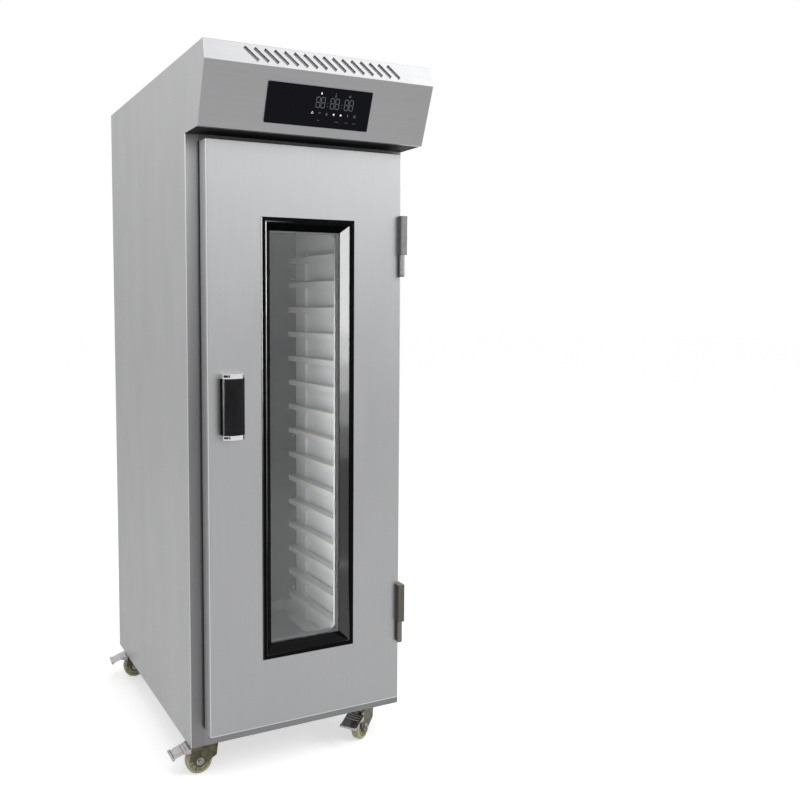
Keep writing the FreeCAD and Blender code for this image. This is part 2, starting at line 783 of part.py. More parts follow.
def drain_pipe():
    """Floor drain with a flange in the chamber and a hose spigot under a nut on the base."""
    foot, top = z_under - drain_spigot, chamber_floor + drain_flange_rise
    tube = rod(drain_radius, (0, drain_y, foot), (0, drain_y, top))
    flange = rod(drain_radius + drain_flange, (0, drain_y, chamber_floor), (0, drain_y, top))
    collar = rod(drain_radius + drain_flange, (0, drain_y, z_under - drain_collar), (0, drain_y, z_under))
    bore = rod(drain_radius - drain_wall, (0, drain_y, foot - 1), (0, drain_y, top + 1))
    return fused([tube, flange, collar]).cut(bore)


def chamber_lamp():
    """Sealed lamp on the chamber ceiling behind the front frame."""
    front = opening_depth + lamp_setback
    low = chamber_ceiling - lamp_height
    batten = box(-lamp_length / 2, lamp_length / 2, front, front + lamp_width, low, chamber_ceiling)
    return rounded(batten, lamp_radius, lambda middle, edge: middle.z < low + 1 and runs_along(edge, V(1, 0, 0)))


def climate_probe():
    """Temperature and humidity probe in the return air, on the liner's back."""
    x, z = probe_x, chamber_floor + probe_rise
    stem = rod(probe_radius, (x, liner_back_y - probe_length, z), (x, liner_back_y, z))
    flange = rod(probe_radius + probe_flange, (x, liner_back_y - probe_flange_depth, z), (x, liner_back_y, z))
    return fused([stem, flange])


def power_box():
    """Relay and power supply box with a lid, on the floor of the head."""
    half_width, half_depth = box_width / 2, box_depth / 2
    left, right, front, rear = box_x - half_width, box_x + half_width, box_y - half_depth, box_y + half_depth
    low, high = head_floor_top + box_height - box_lid, head_floor_top + box_height
    case = box(left, right, front, rear, head_floor_top, low)
    lid = box(left - box_lid, right + box_lid, front - box_lid, rear + box_lid, low, high)
    return fused([case, lid])


def cable_gland():
    """Round gland in the back panel for the power lead."""
    outside = body_depth + skin
    inside = body_depth - gland_inner_length
    dome_start = outside + gland_flange_depth
    barrel = rod(gland_thread, (gland_x, inside, gland_z), (gland_x, dome_start, gland_z))
    flange = rod(gland_flange, (gland_x, outside, gland_z), (gland_x, dome_start, gland_z))
    dome = Part.makeCone(gland_radius, gland_tip, gland_length - gland_flange_depth,
                         V(gland_x, dome_start, gland_z), V(0, 1, 0))
    nut = rod(gland_flange, (gland_x, body_depth - gland_flange_depth, gland_z), (gland_x, body_depth, gland_z))
    bore = rod(gland_bore, (gland_x, inside - 1, gland_z), (gland_x, outside + gland_length + 1, gland_z))
    return fused([barrel, flange, dome, nut]).cut(bore)


# ---- door ----
def door_skin_outer():
    """Pressed pan with rounded front edges and the window's cut-out."""
    def pan(inset, radius, back):
        block = box(-door_half + inset, door_half - inset, door_front + inset, back,
                    door_bottom + inset, door_top - inset)
        return rounded(block, radius, lambda middle, edge: middle.y < door_front + inset + 0.01
                       or runs_along(edge, V(0, 1, 0)))

    shell = pan(0, door_edge_radius, door_back - skin)
    shell = shell.cut(pan(skin, door_edge_radius - skin, door_back + skin))
    cut = bezel_width - bezel_rim
    hole = box(-glass_half - cut, glass_half + cut, door_front - 1, door_front + 2 * skin,
               glass_low - cut, glass_high + cut)
    return shell.cut(hole)


def door_skin_inner():
    """Flat inner sheet with a fold nested inside the outer skin, open at the window."""
    plate = box(-door_half, door_half, door_back - skin, door_back, door_bottom, door_top)
    outer_half, low, high = door_half - skin, door_bottom + skin, door_top - skin
    hem = box(-outer_half, outer_half, door_back - door_hem, door_back - skin, low, high)
    hem = rounded(hem, door_edge_radius - skin, lambda middle, edge: runs_along(edge, V(0, 1, 0)))
    core = box(-outer_half + skin, outer_half - skin, door_back - door_hem - 1, door_back - skin,
               low + skin, high - skin)
    core = rounded(core, door_edge_radius, lambda middle, edge: runs_along(edge, V(0, 1, 0)))
    out = -lining_inset + lining_sheet
    hole = box(-glass_half - out, glass_half + out, door_back - 2 * skin, door_back + 1,
               glass_low - out, glass_high + out)
    return fused([plate, hem.cut(core)]).cut(hole)


def door_foam():
    """Foam core between the skins, hollow round the glazing."""
    edge = door_half - 2 * skin
    block = box(-edge, edge, door_front + skin + door_edge_radius, door_back - skin,
                door_bottom + 2 * skin, door_top - 2 * skin)
    block = rounded(block, door_edge_radius, lambda middle, edge: runs_along(edge, V(0, 1, 0)))
    front = box(-edge + door_edge_radius, edge - door_edge_radius, door_front + skin,
                door_front + skin + door_edge_radius, door_bottom + 2 * skin + door_edge_radius,
                door_top - 2 * skin - door_edge_radius)
    out = bezel_width - bezel_rim + 2
    hole = box(-glass_half - out, glass_half + out, door_front, door_back, glass_low - out, glass_high + out)
    return fused([block, front]).cut(hole)


def window_bezel():
    """Black frame on the outer skin that slopes in to the glass."""
    face = door_front - bezel_proud
    rim = bezel_width - bezel_rim
    section = [(0, pane_y), (0, pane_y - bezel_bevel), (rim - bezel_bevel, face), (bezel_width - bezel_bevel, face),
               (bezel_width, face + bezel_bevel), (bezel_width, door_front), (rim, door_front),
               (rim, door_front + bezel_wall), (2 * bezel_wall, pane_y)]
    return mitred_frame(section, glass_half, glass_low, glass_high)


def glass_panes():
    panes = []
    for y in (pane_y, second_pane_y):
        panes.append(box(-glass_half - pane_edge, glass_half + pane_edge, y, y + pane_thickness,
                         glass_low - pane_edge, glass_high + pane_edge))
    return group(panes)


def glass_spacer():
    """Aluminium bar round the gap between the panes."""
    front, back = pane_y + pane_thickness, second_pane_y
    section = [(-lining_inset, front), (pane_edge - 2, front), (pane_edge - 2, back), (-lining_inset, back)]
    return mitred_frame(section, glass_half, glass_low, glass_high)


def window_lining():
    """Inner frame that clamps the second pane and covers the inner skin's cut edge."""
    proud = door_back + lining_sheet
    section = [(-lining_inset, lining_y), (-lining_inset, proud), (lining_flange, proud), (lining_flange, door_back),
               (-lining_inset + lining_sheet, door_back), (-lining_inset + lining_sheet, lining_y)]
    return mitred_frame(section, glass_half, glass_low, glass_high)


def door_gasket():
    """Magnetic seal with a bellows between its foot and its face."""
    a, b = gasket_margin, gasket_margin + gasket_width
    back, face = door_back, -running_gap
    waist = (back + face) / 2
    section = [(a + 2, back), (b - 2, back), (b - 2, back + 2), (b - 4, waist), (b, face - 2), (b, face),
               (a, face), (a, face - 2), (a + 4, waist), (a + 2, back + 2)]
    return mitred_frame(section, opening_half, opening_bottom, opening_top)


def handle_outline(inset):
    """Outer line of the handle's grip seen from above, from its right foot round to its free edge."""
    left = -door_half + handle_edge
    right = left + handle_width
    middle = (left + right) / 2
    shoulder = door_front - handle_reach / 2
    return (V(right - inset, shoulder, 0), V(middle, door_front - handle_reach + inset, 0),
            V(left, door_front - handle_reach * 0.7 + inset, 0))


def handle_grip():
    """Moulded grip: a back plate and a bowed front that leave a finger gap on the left."""
    left = -door_half + handle_edge
    right = left + handle_width
    outer, inner = handle_outline(0), handle_outline(handle_wall)
    plate_y = door_front - handle_plate
    line = Part.LineSegment
    edges = [line(V(left, door_front, 0), V(right, door_front, 0)), line(V(right, door_front, 0), outer[0]),
             Part.Arc(*outer), line(outer[2], inner[2]), Part.Arc(inner[2], inner[1], inner[0]),
             line(inner[0], V(inner[0].x, plate_y, 0)), line(V(inner[0].x, plate_y, 0), V(left, plate_y, 0)),
             line(V(left, plate_y, 0), V(left, door_front, 0))]
    low = handle_height - handle_length / 2 + handle_block
    face = Part.Face(Part.Wire([edge.toShape() for edge in edges]))
    face.translate(V(0, 0, low))
    return face.extrude(V(0, 0, handle_length - 2 * handle_block))


def handle_blocks():
    """Bright solid blocks that close the grip's two ends, each with a screw recess at its left."""
    left = -door_half + handle_edge
    right = left + handle_width
    outer = handle_outline(0)
    line = Part.LineSegment
    edges = [line(V(left, door_front, 0), V(right, door_front, 0)), line(V(right, door_front, 0), outer[0]),
             Part.Arc(*outer), line(outer[2], V(left, door_front, 0))]
    face = Part.Face(Part.Wire([edge.toShape() for edge in edges]))
    blocks = []
    for low in (handle_height - handle_length / 2, handle_height + handle_length / 2 - handle_block):
        block = face.copy()
        block.translate(V(0, 0, low))
        block = block.extrude(V(0, 0, handle_block))
        start, foot = left + block_recess_edge, low + (handle_block - block_recess_height) / 2
        mouth, floor = door_front - 2 * handle_reach, door_front - block_recess_floor
        recess = box(start, start + block_recess_width, mouth, floor, foot, foot + block_recess_height)
        blocks.append(block.cut(recess))
    return group(blocks)


# ---- hinges ----
def hinge_bases():
    """Lower end of each hinge."""
    whole = hinge_frame_length + running_gap + hinge_door_length
    return [door_bottom + hinge_inset - whole / 2, door_top - hinge_inset - whole / 2]


def hinge_frame_leaves():
    """Lower halves: a barrel before the door's corner, on an arm from a foot on the body's front."""
    leaves = []
    arm_left = door_half + hinge_arm_gap
    for low in hinge_bases():
        high = low + hinge_frame_length
        foot = box(arm_left, arm_left + hinge_foot_width, -hinge_plate, 0, low, high)
        arm = box(arm_left, arm_left + hinge_arm, hinge_y, -hinge_plate, low, high)
        barrel = rod(hinge_frame_radius, (hinge_x, hinge_y, low), (hinge_x, hinge_y, high))
        bore = rod(hinge_pin_radius, (hinge_x, hinge_y, low - 1), (hinge_x, hinge_y, high + 1))
        leaves.append(fused([foot, arm, barrel]).cut(bore))
    return group(leaves)


def hinge_pins():
    pins = []
    for low in hinge_bases():
        head = rod(hinge_frame_radius - 1, (hinge_x, hinge_y, low - hinge_pin_head), (hinge_x, hinge_y, low))
        top = low + hinge_frame_length + hinge_pin_engage
        shank = rod(hinge_pin_radius, (hinge_x, hinge_y, low), (hinge_x, hinge_y, top))
        pins.append(fused([head, shank]))
    return group(pins)


def hinge_door_leaves():
    """Upper halves: cast caps that grip the door's front corner."""
    leaves = []
    left, right = hinge_x - hinge_cap_left, hinge_x + hinge_cap_right
    front, rear = hinge_y - hinge_cap_front, door_front + hinge_cap_depth
    for base in hinge_bases():
        low = base + hinge_frame_length + running_gap
        high = low + hinge_door_length
        block = box(left, right, front, rear, low, high)
        block = rounded(block, hinge_cap_radius, lambda middle, edge: runs_along(edge, V(0, 0, 1)))
        block = block.cut(box(left - 1, door_half, door_front, rear + 1, low - 1, high + 1))
        top = base + hinge_frame_length + hinge_pin_engage + running_gap
        bore = rod(hinge_pin_radius + shaft_clearance, (hinge_x, hinge_y, low - 1), (hinge_x, hinge_y, top))
        leaves.append(block.cut(bore))
    return group(leaves)


# ---- casters: made with the swivel axis at the origin and the wheel trailing along +X ----
def placed(shape, name):
    """Turn a caster piece to its rest direction and move it under its corner."""
    x, y = caster_place(name)
    shape = shape.copy()
    shape.rotate(V(0, 0, 0), V(0, 0, 1), caster_turns[name])
    shape.translate(V(x, y, 0))
    return shape


def caster_stem():
    """Threaded stem, upper race plate and kingpin in one turned piece."""
    low = crown_under - kingpin_head
    stem = rod(stem_radius, (0, 0, z_under - 1), (0, 0, z_under + stem_length))
    plate = rod(race_radius, (0, 0, z_under - race_plate), (0, 0, z_under))
    kingpin = rod(kingpin_radius, (0, 0, low), (0, 0, z_under))
    head = rod(kingpin_radius + kingpin_head, (0, 0, low - running_gap), (0, 0, crown_under - running_gap))
    return fused([stem, plate, kingpin, head])


def tangent_point(point, centre, radius, side):
    """Where a line from a point touches a circle in the XZ plane, on the chosen side."""
    to_point = point - centre
    distance = to_point.Length
    angle = math.atan2(to_point.z, to_point.x) + side * math.acos(radius / distance)
    return centre + V(radius * math.cos(angle), 0, radius * math.sin(angle))


def leg_outline():
    """Side view of a fork leg: broad down to its shoulders, then narrowing to a round axle eye."""
    eye = V(caster_trail, 0, wheel_radius)
    back = caster_trail + fork_back
    corners = [V(fork_taper - fork_lead, 0, fork_shoulder), V(-fork_lead, 0, crown_top), V(back, 0, crown_top),
               V(back, 0, fork_shoulder)]
    lower_left = tangent_point(corners[0], eye, fork_eye_radius, 1)
    lower_right = tangent_point(corners[3], eye, fork_eye_radius, -1)
    line = Part.LineSegment
    return [line(lower_left, corners[0]), line(corners[0], corners[1]), line(corners[1], corners[2]),
            line(corners[2], corners[3]), line(corners[3], lower_right),
            Part.Arc(lower_right, eye - V(0, 0, fork_eye_radius), lower_left)]


def caster_fork():
    """Pressed fork: crown with a ball race and two legs."""
    profile = Part.Face(Part.Wire([edge.toShape() for edge in leg_outline()]))
    legs = []
    for y in (leg_inside, -leg_outside):
        leg = profile.copy()
        leg.translate(V(0, y, 0))
        legs.append(leg.extrude(V(0, fork_sheet, 0)))
    back, reach = caster_trail + fork_back, leg_outside + 1
    crown = box(-fork_lead, back, -leg_outside, leg_outside, crown_under, crown_top)
    race = rod(race_radius - race_inset, (0, 0, crown_top - 1), (0, 0, z_under - race_plate - running_gap))
    pin_bore = pedal_pin_radius + shaft_clearance
    notch_front = pedal_pivot_x - pedal_pin_radius - 5
    cuts = [rod(kingpin_radius + shaft_clearance, (0, 0, crown_under - 1), (0, 0, z_under)),
            rod(axle_radius, (caster_trail, -reach, wheel_radius), (caster_trail, reach, wheel_radius)),
            rod(pin_bore, (pedal_pivot_x, -reach, pedal_pivot_z), (pedal_pivot_x, reach, pedal_pivot_z)),
            box(notch_front, back + 1, -leg_inside, leg_inside, crown_under - 1, crown_top + 1)]
    return fused([crown, race] + legs).cut(group(cuts))


def caster_axle():
    """Axle bolt with washers, a hexagon head and a nut."""
    shank = rod(axle_radius, (caster_trail, -leg_outside, wheel_radius), (caster_trail, leg_outside, wheel_radius))
    pieces = [shank]
    for side, height in ((1, axle_head_height), (-1, axle_nut_height)):
        y = side * leg_outside
        seat = y + side * axle_washer
        pieces.append(rod(axle_washer_radius, (caster_trail, y, wheel_radius), (caster_trail, seat, wheel_radius)))
        corners = []
        for k in range(6):
            turn = math.radians(60 * k)
            corners.append(V(caster_trail + axle_hex_radius * math.cos(turn), seat,
                             wheel_radius + axle_hex_radius * math.sin(turn)))
        pieces.append(face_of(corners).extrude(V(0, side * height, 0)))
    return fused(pieces)


def caster_wheel():
    """Solid nylon wheel with rounded edges and dished sides."""
    side = wheel_width / 2
    tyre = rod(wheel_radius, (caster_trail, -side, wheel_radius), (caster_trail, side, wheel_radius))
    tyre = tyre.makeFillet(wheel_edge_radius, [e for e in tyre.Edges if isinstance(e.Curve, Part.Circle)])
    for sign in (-1, 1):
        dish = rod(wheel_radius - wheel_rim, (caster_trail, sign * side, wheel_radius),
                   (caster_trail, sign * (side - wheel_recess), wheel_radius))
        tyre = tyre.cut(dish)
    reach = leg_inside - running_gap
    hub = rod(hub_radius, (caster_trail, -reach, wheel_radius), (caster_trail, reach, wheel_radius))
    bore = rod(axle_radius + shaft_clearance, (caster_trail, -reach - 1, wheel_radius),
               (caster_trail, reach + 1, wheel_radius))
    return fused([tyre, hub]).cut(bore)


def caster_pedal():
    """Brake pedal: pivot pin and shoe between the legs, and a ribbed foot plate with a rolled tip outside them."""
    inside = leg_inside - running_gap
    half_width = pedal_width / 2
    root = caster_trail + pedal_neck
    neck_low = pedal_pivot_z + pedal_pin_radius - pedal_sheet
    root_low = neck_low - pedal_neck_drop
    tip = pedal_reach - pedal_lip_radius
    fall = (root_low - pedal_tip_height) / (tip - root)
    back = pedal_pivot_x - pedal_pin_radius
    x, z = pedal_pivot_x, pedal_pivot_z
    pin = rod(pedal_pin_radius, (x, -leg_outside, z), (x, leg_outside, z))
    neck = [(back, neck_low), (root, root_low), (root, root_low + pedal_sheet), (back, neck_low + pedal_sheet)]
    shoe = [(x + along, z + rise) for along, rise in pedal_shoe]
    plate = [(root - 1, root_low), (tip, pedal_tip_height), (tip, pedal_tip_height + pedal_sheet),
             (root - 1, root_low + pedal_sheet)]
    cheek_low = root_low - pedal_cheek_depth
    cheek = [(root - 1, root_low + 1), (root + pedal_cheek_length, root_low + 1 - fall * pedal_cheek_length),
             (root + pedal_cheek_length / 2, cheek_low), (root - 1, cheek_low)]

    def across(outline, start, stop):
        return face_of([V(x, start, z) for x, z in outline]).extrude(V(0, stop - start, 0))

    pieces = [pin, across(neck, -inside, inside), across(shoe, 1 - inside, inside - 1),
              across(plate, -half_width, half_width), across(cheek, -half_width, pedal_sheet - half_width),
              across(cheek, half_width - pedal_sheet, half_width)]
    lip_z = pedal_tip_height + pedal_sheet / 2
    pieces.append(rod(pedal_lip_radius, (tip, -half_width, lip_z), (tip, half_width, lip_z)))
    for k in range(pedal_rib_count):
        x = root + pedal_rib_pitch * (k + 0.5)
        z = root_low + pedal_sheet - fall * (x - root)
        reach = half_width - pedal_rib_inset
        pieces.append(rod(pedal_rib_radius, (x, -reach, z), (x, reach, z)))
    return fused(pieces)


# ---- every node, in cabinet axes ----
def build():
    nodes = {
        "side_panel_right": right_side_panel(),
        "side_panel_left": mirrored(right_side_panel()),
        "back_panel": back_panel(),
        "panel_screws": panel_screws(),
        "base_pan": base_pan(),
        "head_floor": head_floor(),
        "roof_panel": roof_panel(),
        "head_fascia": head_fascia(),
        "control_glass": control_glass(),
        "control_board": control_board(),
        "face_frame": face_frame(),
        "liner_right": liner_side(),
        "liner_left": mirrored(liner_side()),
        "liner_back": liner_back(),
        "liner_ceiling": liner_ceiling(),
        "liner_floor": liner_floor(),
        "insulation_foam": insulation_foam(),
        "rack_uprights": rack_uprights(),
        "tray_rails": tray_rails(),
        "duct_panel": duct_panel(),
        "fan_housing": fan_housing(),
        "fan_impeller": fan_impeller(),
        "heater_element": heater_element(),
        "water_valve": water_valve(),
        "spray_pipe": spray_pipe(),
        "drain_pipe": drain_pipe(),
        "chamber_lamp": chamber_lamp(),
        "climate_probe": climate_probe(),
        "power_box": power_box(),
        "cable_gland": cable_gland(),
        "door_skin_outer": door_skin_outer(),
        "door_skin_inner": door_skin_inner(),
        "door_foam": door_foam(),
        "window_bezel": window_bezel(),
        "glass_panes": glass_panes(),
        "glass_spacer": glass_spacer(),
        "window_lining": window_lining(),
        "door_gasket": door_gasket(),
        "handle_grip": handle_grip(),
        "handle_blocks": handle_blocks(),
        "hinge_door_leaves": hinge_door_leaves(),
        "hinge_frame_leaves": hinge_frame_leaves(),
        "hinge_pins": hinge_pins(),
        "caster_stems": group([placed(caster_stem(), name) for name in caster_names]),
    }
    for name in caster_names:
        nodes["caster_fork_" + name] = placed(caster_fork(), name)
        nodes["caster_wheel_" + name] = placed(caster_wheel(), name)
        nodes["caster_axle_" + name] = placed(caster_axle(), name)
        nodes["caster_pedal_" + name] = placed(caster_pedal(), name)
    return nodes


def floor_centre():
    """Middle of the whole part's front-to-back reach, which becomes Y = 0."""
    rear = body_depth + skin + max(gland_length, inlet_length)
    return (rear - brow_reach) / 2


os.makedirs("parts", exist_ok=True)
for node_name, node_shape in build().items():
    node_shape.translate(V(0, -floor_centre(), 0))
    node_shape.exportStep(os.path.join("parts", node_name + ".step"))
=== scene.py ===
"""Finishes, small surface pieces and studio of a single-door proofing cabinet."""

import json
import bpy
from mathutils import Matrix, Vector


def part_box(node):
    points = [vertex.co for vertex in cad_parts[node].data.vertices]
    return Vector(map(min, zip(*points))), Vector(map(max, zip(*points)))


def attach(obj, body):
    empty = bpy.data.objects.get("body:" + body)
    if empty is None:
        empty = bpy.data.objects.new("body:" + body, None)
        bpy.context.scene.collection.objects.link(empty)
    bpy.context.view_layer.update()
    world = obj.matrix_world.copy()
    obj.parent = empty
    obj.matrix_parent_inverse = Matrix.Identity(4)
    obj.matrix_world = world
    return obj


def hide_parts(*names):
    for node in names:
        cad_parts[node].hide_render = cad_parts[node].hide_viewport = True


bl_info = {
    "name": "Proofing Cabinet",
    "version": (1, 0, 0),
    "blender": (4, 5, 0),
    "location": "View3D > Sidebar > Proofer",
    "description": "Finishes, small pieces and studio of a single-door proofing cabinet",
    "category": "Object",
}

import bmesh
import bpy
import numpy as np
from bpy.props import FloatProperty, FloatVectorProperty, PointerProperty
from mathutils import Euler, Vector

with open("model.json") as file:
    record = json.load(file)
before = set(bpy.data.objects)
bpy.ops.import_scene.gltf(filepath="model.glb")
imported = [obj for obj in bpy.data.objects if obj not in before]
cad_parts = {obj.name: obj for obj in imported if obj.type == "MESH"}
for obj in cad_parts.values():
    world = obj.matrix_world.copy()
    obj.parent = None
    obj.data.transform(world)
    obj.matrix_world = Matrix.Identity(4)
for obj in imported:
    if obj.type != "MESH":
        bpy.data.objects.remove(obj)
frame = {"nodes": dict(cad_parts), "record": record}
built = frame["nodes"]
record = frame["record"]
MM = 0.001
CORNERS = ("fl", "fr", "rl", "rr")
# Right, up and outward directions of a face that looks to the front, and of one that looks to the rear.
FRONT = ((1, 0, 0), (0, 0, 1), (0, -1, 0))
REAR = ((-1, 0, 0), (0, 0, 1), (0, 1, 0))


# ---------------------------------------------------------------- settings
def tone(label, about, value):
    """Colour setting."""
    return FloatVectorProperty(name=label, description=about, subtype="COLOR", size=3, min=0, max=1,
                               default=value)


def number(label, about, value, **kind):
    """Number setting, with a unit, a subtype or limits where they fit."""
    return FloatProperty(name=label, description=about, default=value, **kind)


def length(label, about, value):
    """Length setting in metres."""
    return number(label, about, value, unit="LENGTH", min=0)


def offset(label, about, value):
    """Signed distance in metres."""
    return number(label, about, value, unit="LENGTH")


class SheetSettings(bpy.types.PropertyGroup):
    """Stainless sheet of the casing, the door and the chamber."""

    casing: tone("Casing", "Side panels, roof and back", (0.335, 0.337, 0.342))
    door: tone("Door", "Outer skin of the door", (0.288, 0.290, 0.294))
    # The front frame's tone is darker than the casing's: painted shade, for a frame that lies in the door's
    # shadow.
    frame: tone("Front frame", "Narrow frame round the door", (0.175, 0.177, 0.180))
    fascia: tone("Fascia", "Slanted front of the head", (0.275, 0.276, 0.280))
    liner: tone("Liner", "Walls of the chamber", (0.50, 0.505, 0.51))
    duct: tone("Duct panel", "Rear panel inside the chamber", (0.070, 0.071, 0.073))
    roughness: number("Roughness", "Roughness of brushed sheet", 0.38, min=0, max=1)
    grain: number("Grain", "Depth of the brush marks", 0.05, min=0, max=1)


class PanelSettings(bpy.types.PropertyGroup):
    """Marks printed behind the control glass, measured from the middle of the glass."""

    digit_width: length("Digit width", "Width of one numeral", 0.0105)
    digit_height: length("Digit height", "Height of one numeral", 0.026)
    digit_gap: length("Digit gap", "Gap between the two numerals of a group", 0.0035)
    digit_stroke: length("Stroke", "Thickness of a numeral's bars", 0.0022)
    group_start: offset("First group", "Middle of the first pair of numerals", 0.001)
    group_pitch: length("Group pitch", "Step from one pair to the next", 0.041)
    group_rise: offset("Group rise", "Numerals above the middle of the glass", 0.012)
    icon_rise: offset("Icon rise", "Small signs above the numerals", 0.034)
    key_start: offset("First key", "Middle of the first touch key", -0.0185)
    key_pitch: length("Key pitch", "Step from one touch key to the next", 0.0206)
    key_rise: offset("Key rise", "Row of touch keys, from the middle", -0.015)
    tick_rise: offset("Tick rise", "Row of small bars under the keys", -0.033)
    mark_depth: length("Mark depth", "Thickness of the printed marks", 0.00012)
    lit: tone("Lit marks", "Colour of lit keys", (0.95, 0.97, 1.0))
    unlit: tone("Unlit marks", "Colour of marks that are off", (0.048, 0.050, 0.055))


class StudioSettings(bpy.types.PropertyGroup):
    """Camera, lamps and surroundings."""

    eye: FloatVectorProperty(name="Eye", description="Place of the camera", subtype="XYZ", unit="LENGTH",
                             size=3, default=(-1.021, -2.5585, 1.297))
    turn: number("Turn", "Turn of the view from straight ahead", np.radians(-25.7), subtype="ANGLE")
    dip: number("Dip", "How far the view looks down", np.radians(4.284), subtype="ANGLE")
    lens: number("Lens", "Focal length in millimetres", 39.63, min=1)
    shift_x: number("Shift X", "Sideways shift of the view", 0.1064)
    shift_y: number("Shift Y", "Vertical shift of the view", -0.0358)
    sky: number("Sky light", "Strength of the surroundings on matt surfaces", 0.62, min=0)
    sky_low: number("Low sky", "Brightness of the mirrored surroundings, low down", 1.0, min=0)
    sky_high: number("High sky", "Brightness of the mirrored surroundings, overhead", 2.9, min=0)
    sky_side: number("Side rise", "Growth of that brightness towards the right", 2.7, min=0)
    key_power: number("Key lamp", "Power of the front right softbox", 60, unit="POWER")
    fill_power: number("Fill lamp", "Power of the overhead softbox", 40, unit="POWER")
    strip_power: number("Strip lamps", "Power of a square metre of strip lamp", 1040, unit="POWER")
    chamber_power: number("Chamber light", "Power of the light inside the chamber", 7, unit="POWER")
    floor_glow: number("Floor glow", "Brightness added to the floor", 0.5, min=0)


# ---------------------------------------------------------------- surface helpers
def full_turn(segments):
    """Evenly spaced angles of one turn, without the last."""
    return np.linspace(0, 2 * np.pi, segments, endpoint=False)


def grid_faces(rows, columns, ring_rows=False, ring_columns=False):
    """Quads between points numbered row by row. A ring direction joins its last line to its first."""
    r, c = np.meshgrid(np.arange(rows if ring_rows else rows - 1),
                       np.arange(columns if ring_columns else columns - 1), indexing="ij")
    next_r = (r + 1) % rows
    next_c = (c + 1) % columns
    corners = (r * columns + c, r * columns + next_c, next_r * columns + next_c, next_r * columns + c)
    return list(np.stack(corners, -1).reshape(-1, 4))


def make_piece(name, shape, finish, body, smooth=True):
    """Mesh object from points and faces. Doubled points are merged and faces turned outwards."""
    points, faces = shape
    mesh = bpy.data.meshes.new(name)
    mesh.from_pydata(np.asarray(points, float).tolist(), [], [list(map(int, face)) for face in faces])
    work = bmesh.new()
    work.from_mesh(mesh)
    bmesh.ops.remove_doubles(work, verts=work.verts, dist=1e-6)
    bmesh.ops.dissolve_degenerate(work, edges=work.edges, dist=1e-7)
    bmesh.ops.recalc_face_normals(work, faces=work.faces)
    work.to_mesh(mesh)
    work.free()
    mesh.polygons.foreach_set("use_smooth", np.full(len(mesh.polygons), smooth))
    if smooth:
        mesh.set_sharp_from_angle(angle=np.radians(35))
    made = bpy.data.objects.new(name, mesh)
    bpy.context.scene.collection.objects.link(made)
    made.data.materials.append(finish)
    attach(made, body)
    return made


def joined(shapes):
    """Several shapes, each of points and faces, as one."""
    points, faces, count = [], [], 0
    for some_points, some_faces in shapes:
        points.append(some_points)
        faces += [np.asarray(face) + count for face in some_faces]
        count += len(some_points)
    return np.concatenate(points), faces


def placed(shape, origin, right, up, out):
    """Shape given along right, up and out, moved to an origin."""
    points, faces = shape
    axes = np.array([right, up, out], float)
    return np.asarray(points, float) @ axes + np.asarray(origin, float), faces


def turned(radii, heights, segments, closed=False):
    """Surface round its own Z: point (i, j) is at angle j, with line i's radius and height there. In a closed
    section the last line joins the first, and otherwise a radius of 0 closes an end."""
    r, z = (np.broadcast_to(np.reshape(line, (len(line), -1)), (len(line), segments))
            for line in (radii, heights))
    a = full_turn(segments)
    points = np.stack([r * np.cos(a), r * np.sin(a), z], -1).reshape(-1, 3)
    return points, grid_faces(len(r), segments, closed, True)


def prism(outline, depth):
    """Flat closed slab with a given outline."""
    outline = np.asarray(outline, float)
    n = len(outline)
    low = np.column_stack([outline, np.zeros(n)])
    high = np.column_stack([outline, np.full(n, depth)])
    k = np.arange(n)
    sides = list(np.stack([k, (k + 1) % n, (k + 1) % n + n, k + n], -1))
    return np.concatenate([low, high]), sides + [k[::-1], k + n]


def corrugated(x, rows):
    """Closed bar along X. Each row is one edge of its section: its Y, and its Z at every x."""
    n = len(x)
    points = np.concatenate([np.column_stack([x, np.full(n, y), np.broadcast_to(z, n)]) for y, z in rows])
    end = np.arange(len(rows)) * n
    return points, grid_faces(len(rows), n, True) + [end, end[::-1] + n - 1]


def screw_head(radius, height):
    """Pan head with a cross recess. Height falls as a flattened circle, less the recess near the two arms."""
    r = radius * np.array([0, 0.12, 0.24, 0.36, 0.48, 0.6, 0.72, 0.84, 0.93, 0.98, 1.0, 1.0, 0.0])
    segments = 32
    arm_width, arm_reach, arm_slope = 0.12 * radius, 0.66 * radius, 0.1 * radius
    a = full_turn(segments)
    x, y = np.abs(r[:, None] * np.cos(a)), np.abs(r[:, None] * np.sin(a))
    dome = height * (1 - (r[:, None] / radius) ** 4) ** 0.5
    cut = np.clip(1.5 - np.minimum(x, y) / arm_width, 0, 1)
    cut *= np.clip((arm_reach - np.maximum(x, y)) / arm_slope, 0, 1)
    z = dome - 0.6 * height * cut
    z[-2:] = -0.05 * height
    return turned(r, z, segments)


def pan_heads(places, face, radius, height):
    """Cross-recess heads at several places of one face."""
    head = screw_head(radius, height)
    return joined([placed(head, place, *face) for place in places])


def thread(radius, depth, pitch, length, bore=0.0):
    """Screw thread along its own Z. Radius falls by a triangle wave of (z / pitch - angle / turn), and both
    ends close onto the bore."""
    segments, rows_per_pitch = 40, 8
    rows = int(round(length / pitch * rows_per_pitch)) + 1
    z = np.repeat(np.linspace(0, length, rows)[:, None], segments, 1)
    wave = np.abs(((z / pitch - full_turn(segments) / (2 * np.pi)) % 1.0) * 2 - 1)
    near_end = np.clip(np.minimum(z, length - z) / pitch, 0, 1)
    r = radius - depth * (1 - wave * near_end)
    ends = ((1, 1), (0, 0))
    return turned(np.pad(r, ends, constant_values=bore), np.pad(z, ends, mode="edge"), segments, bore > 0)


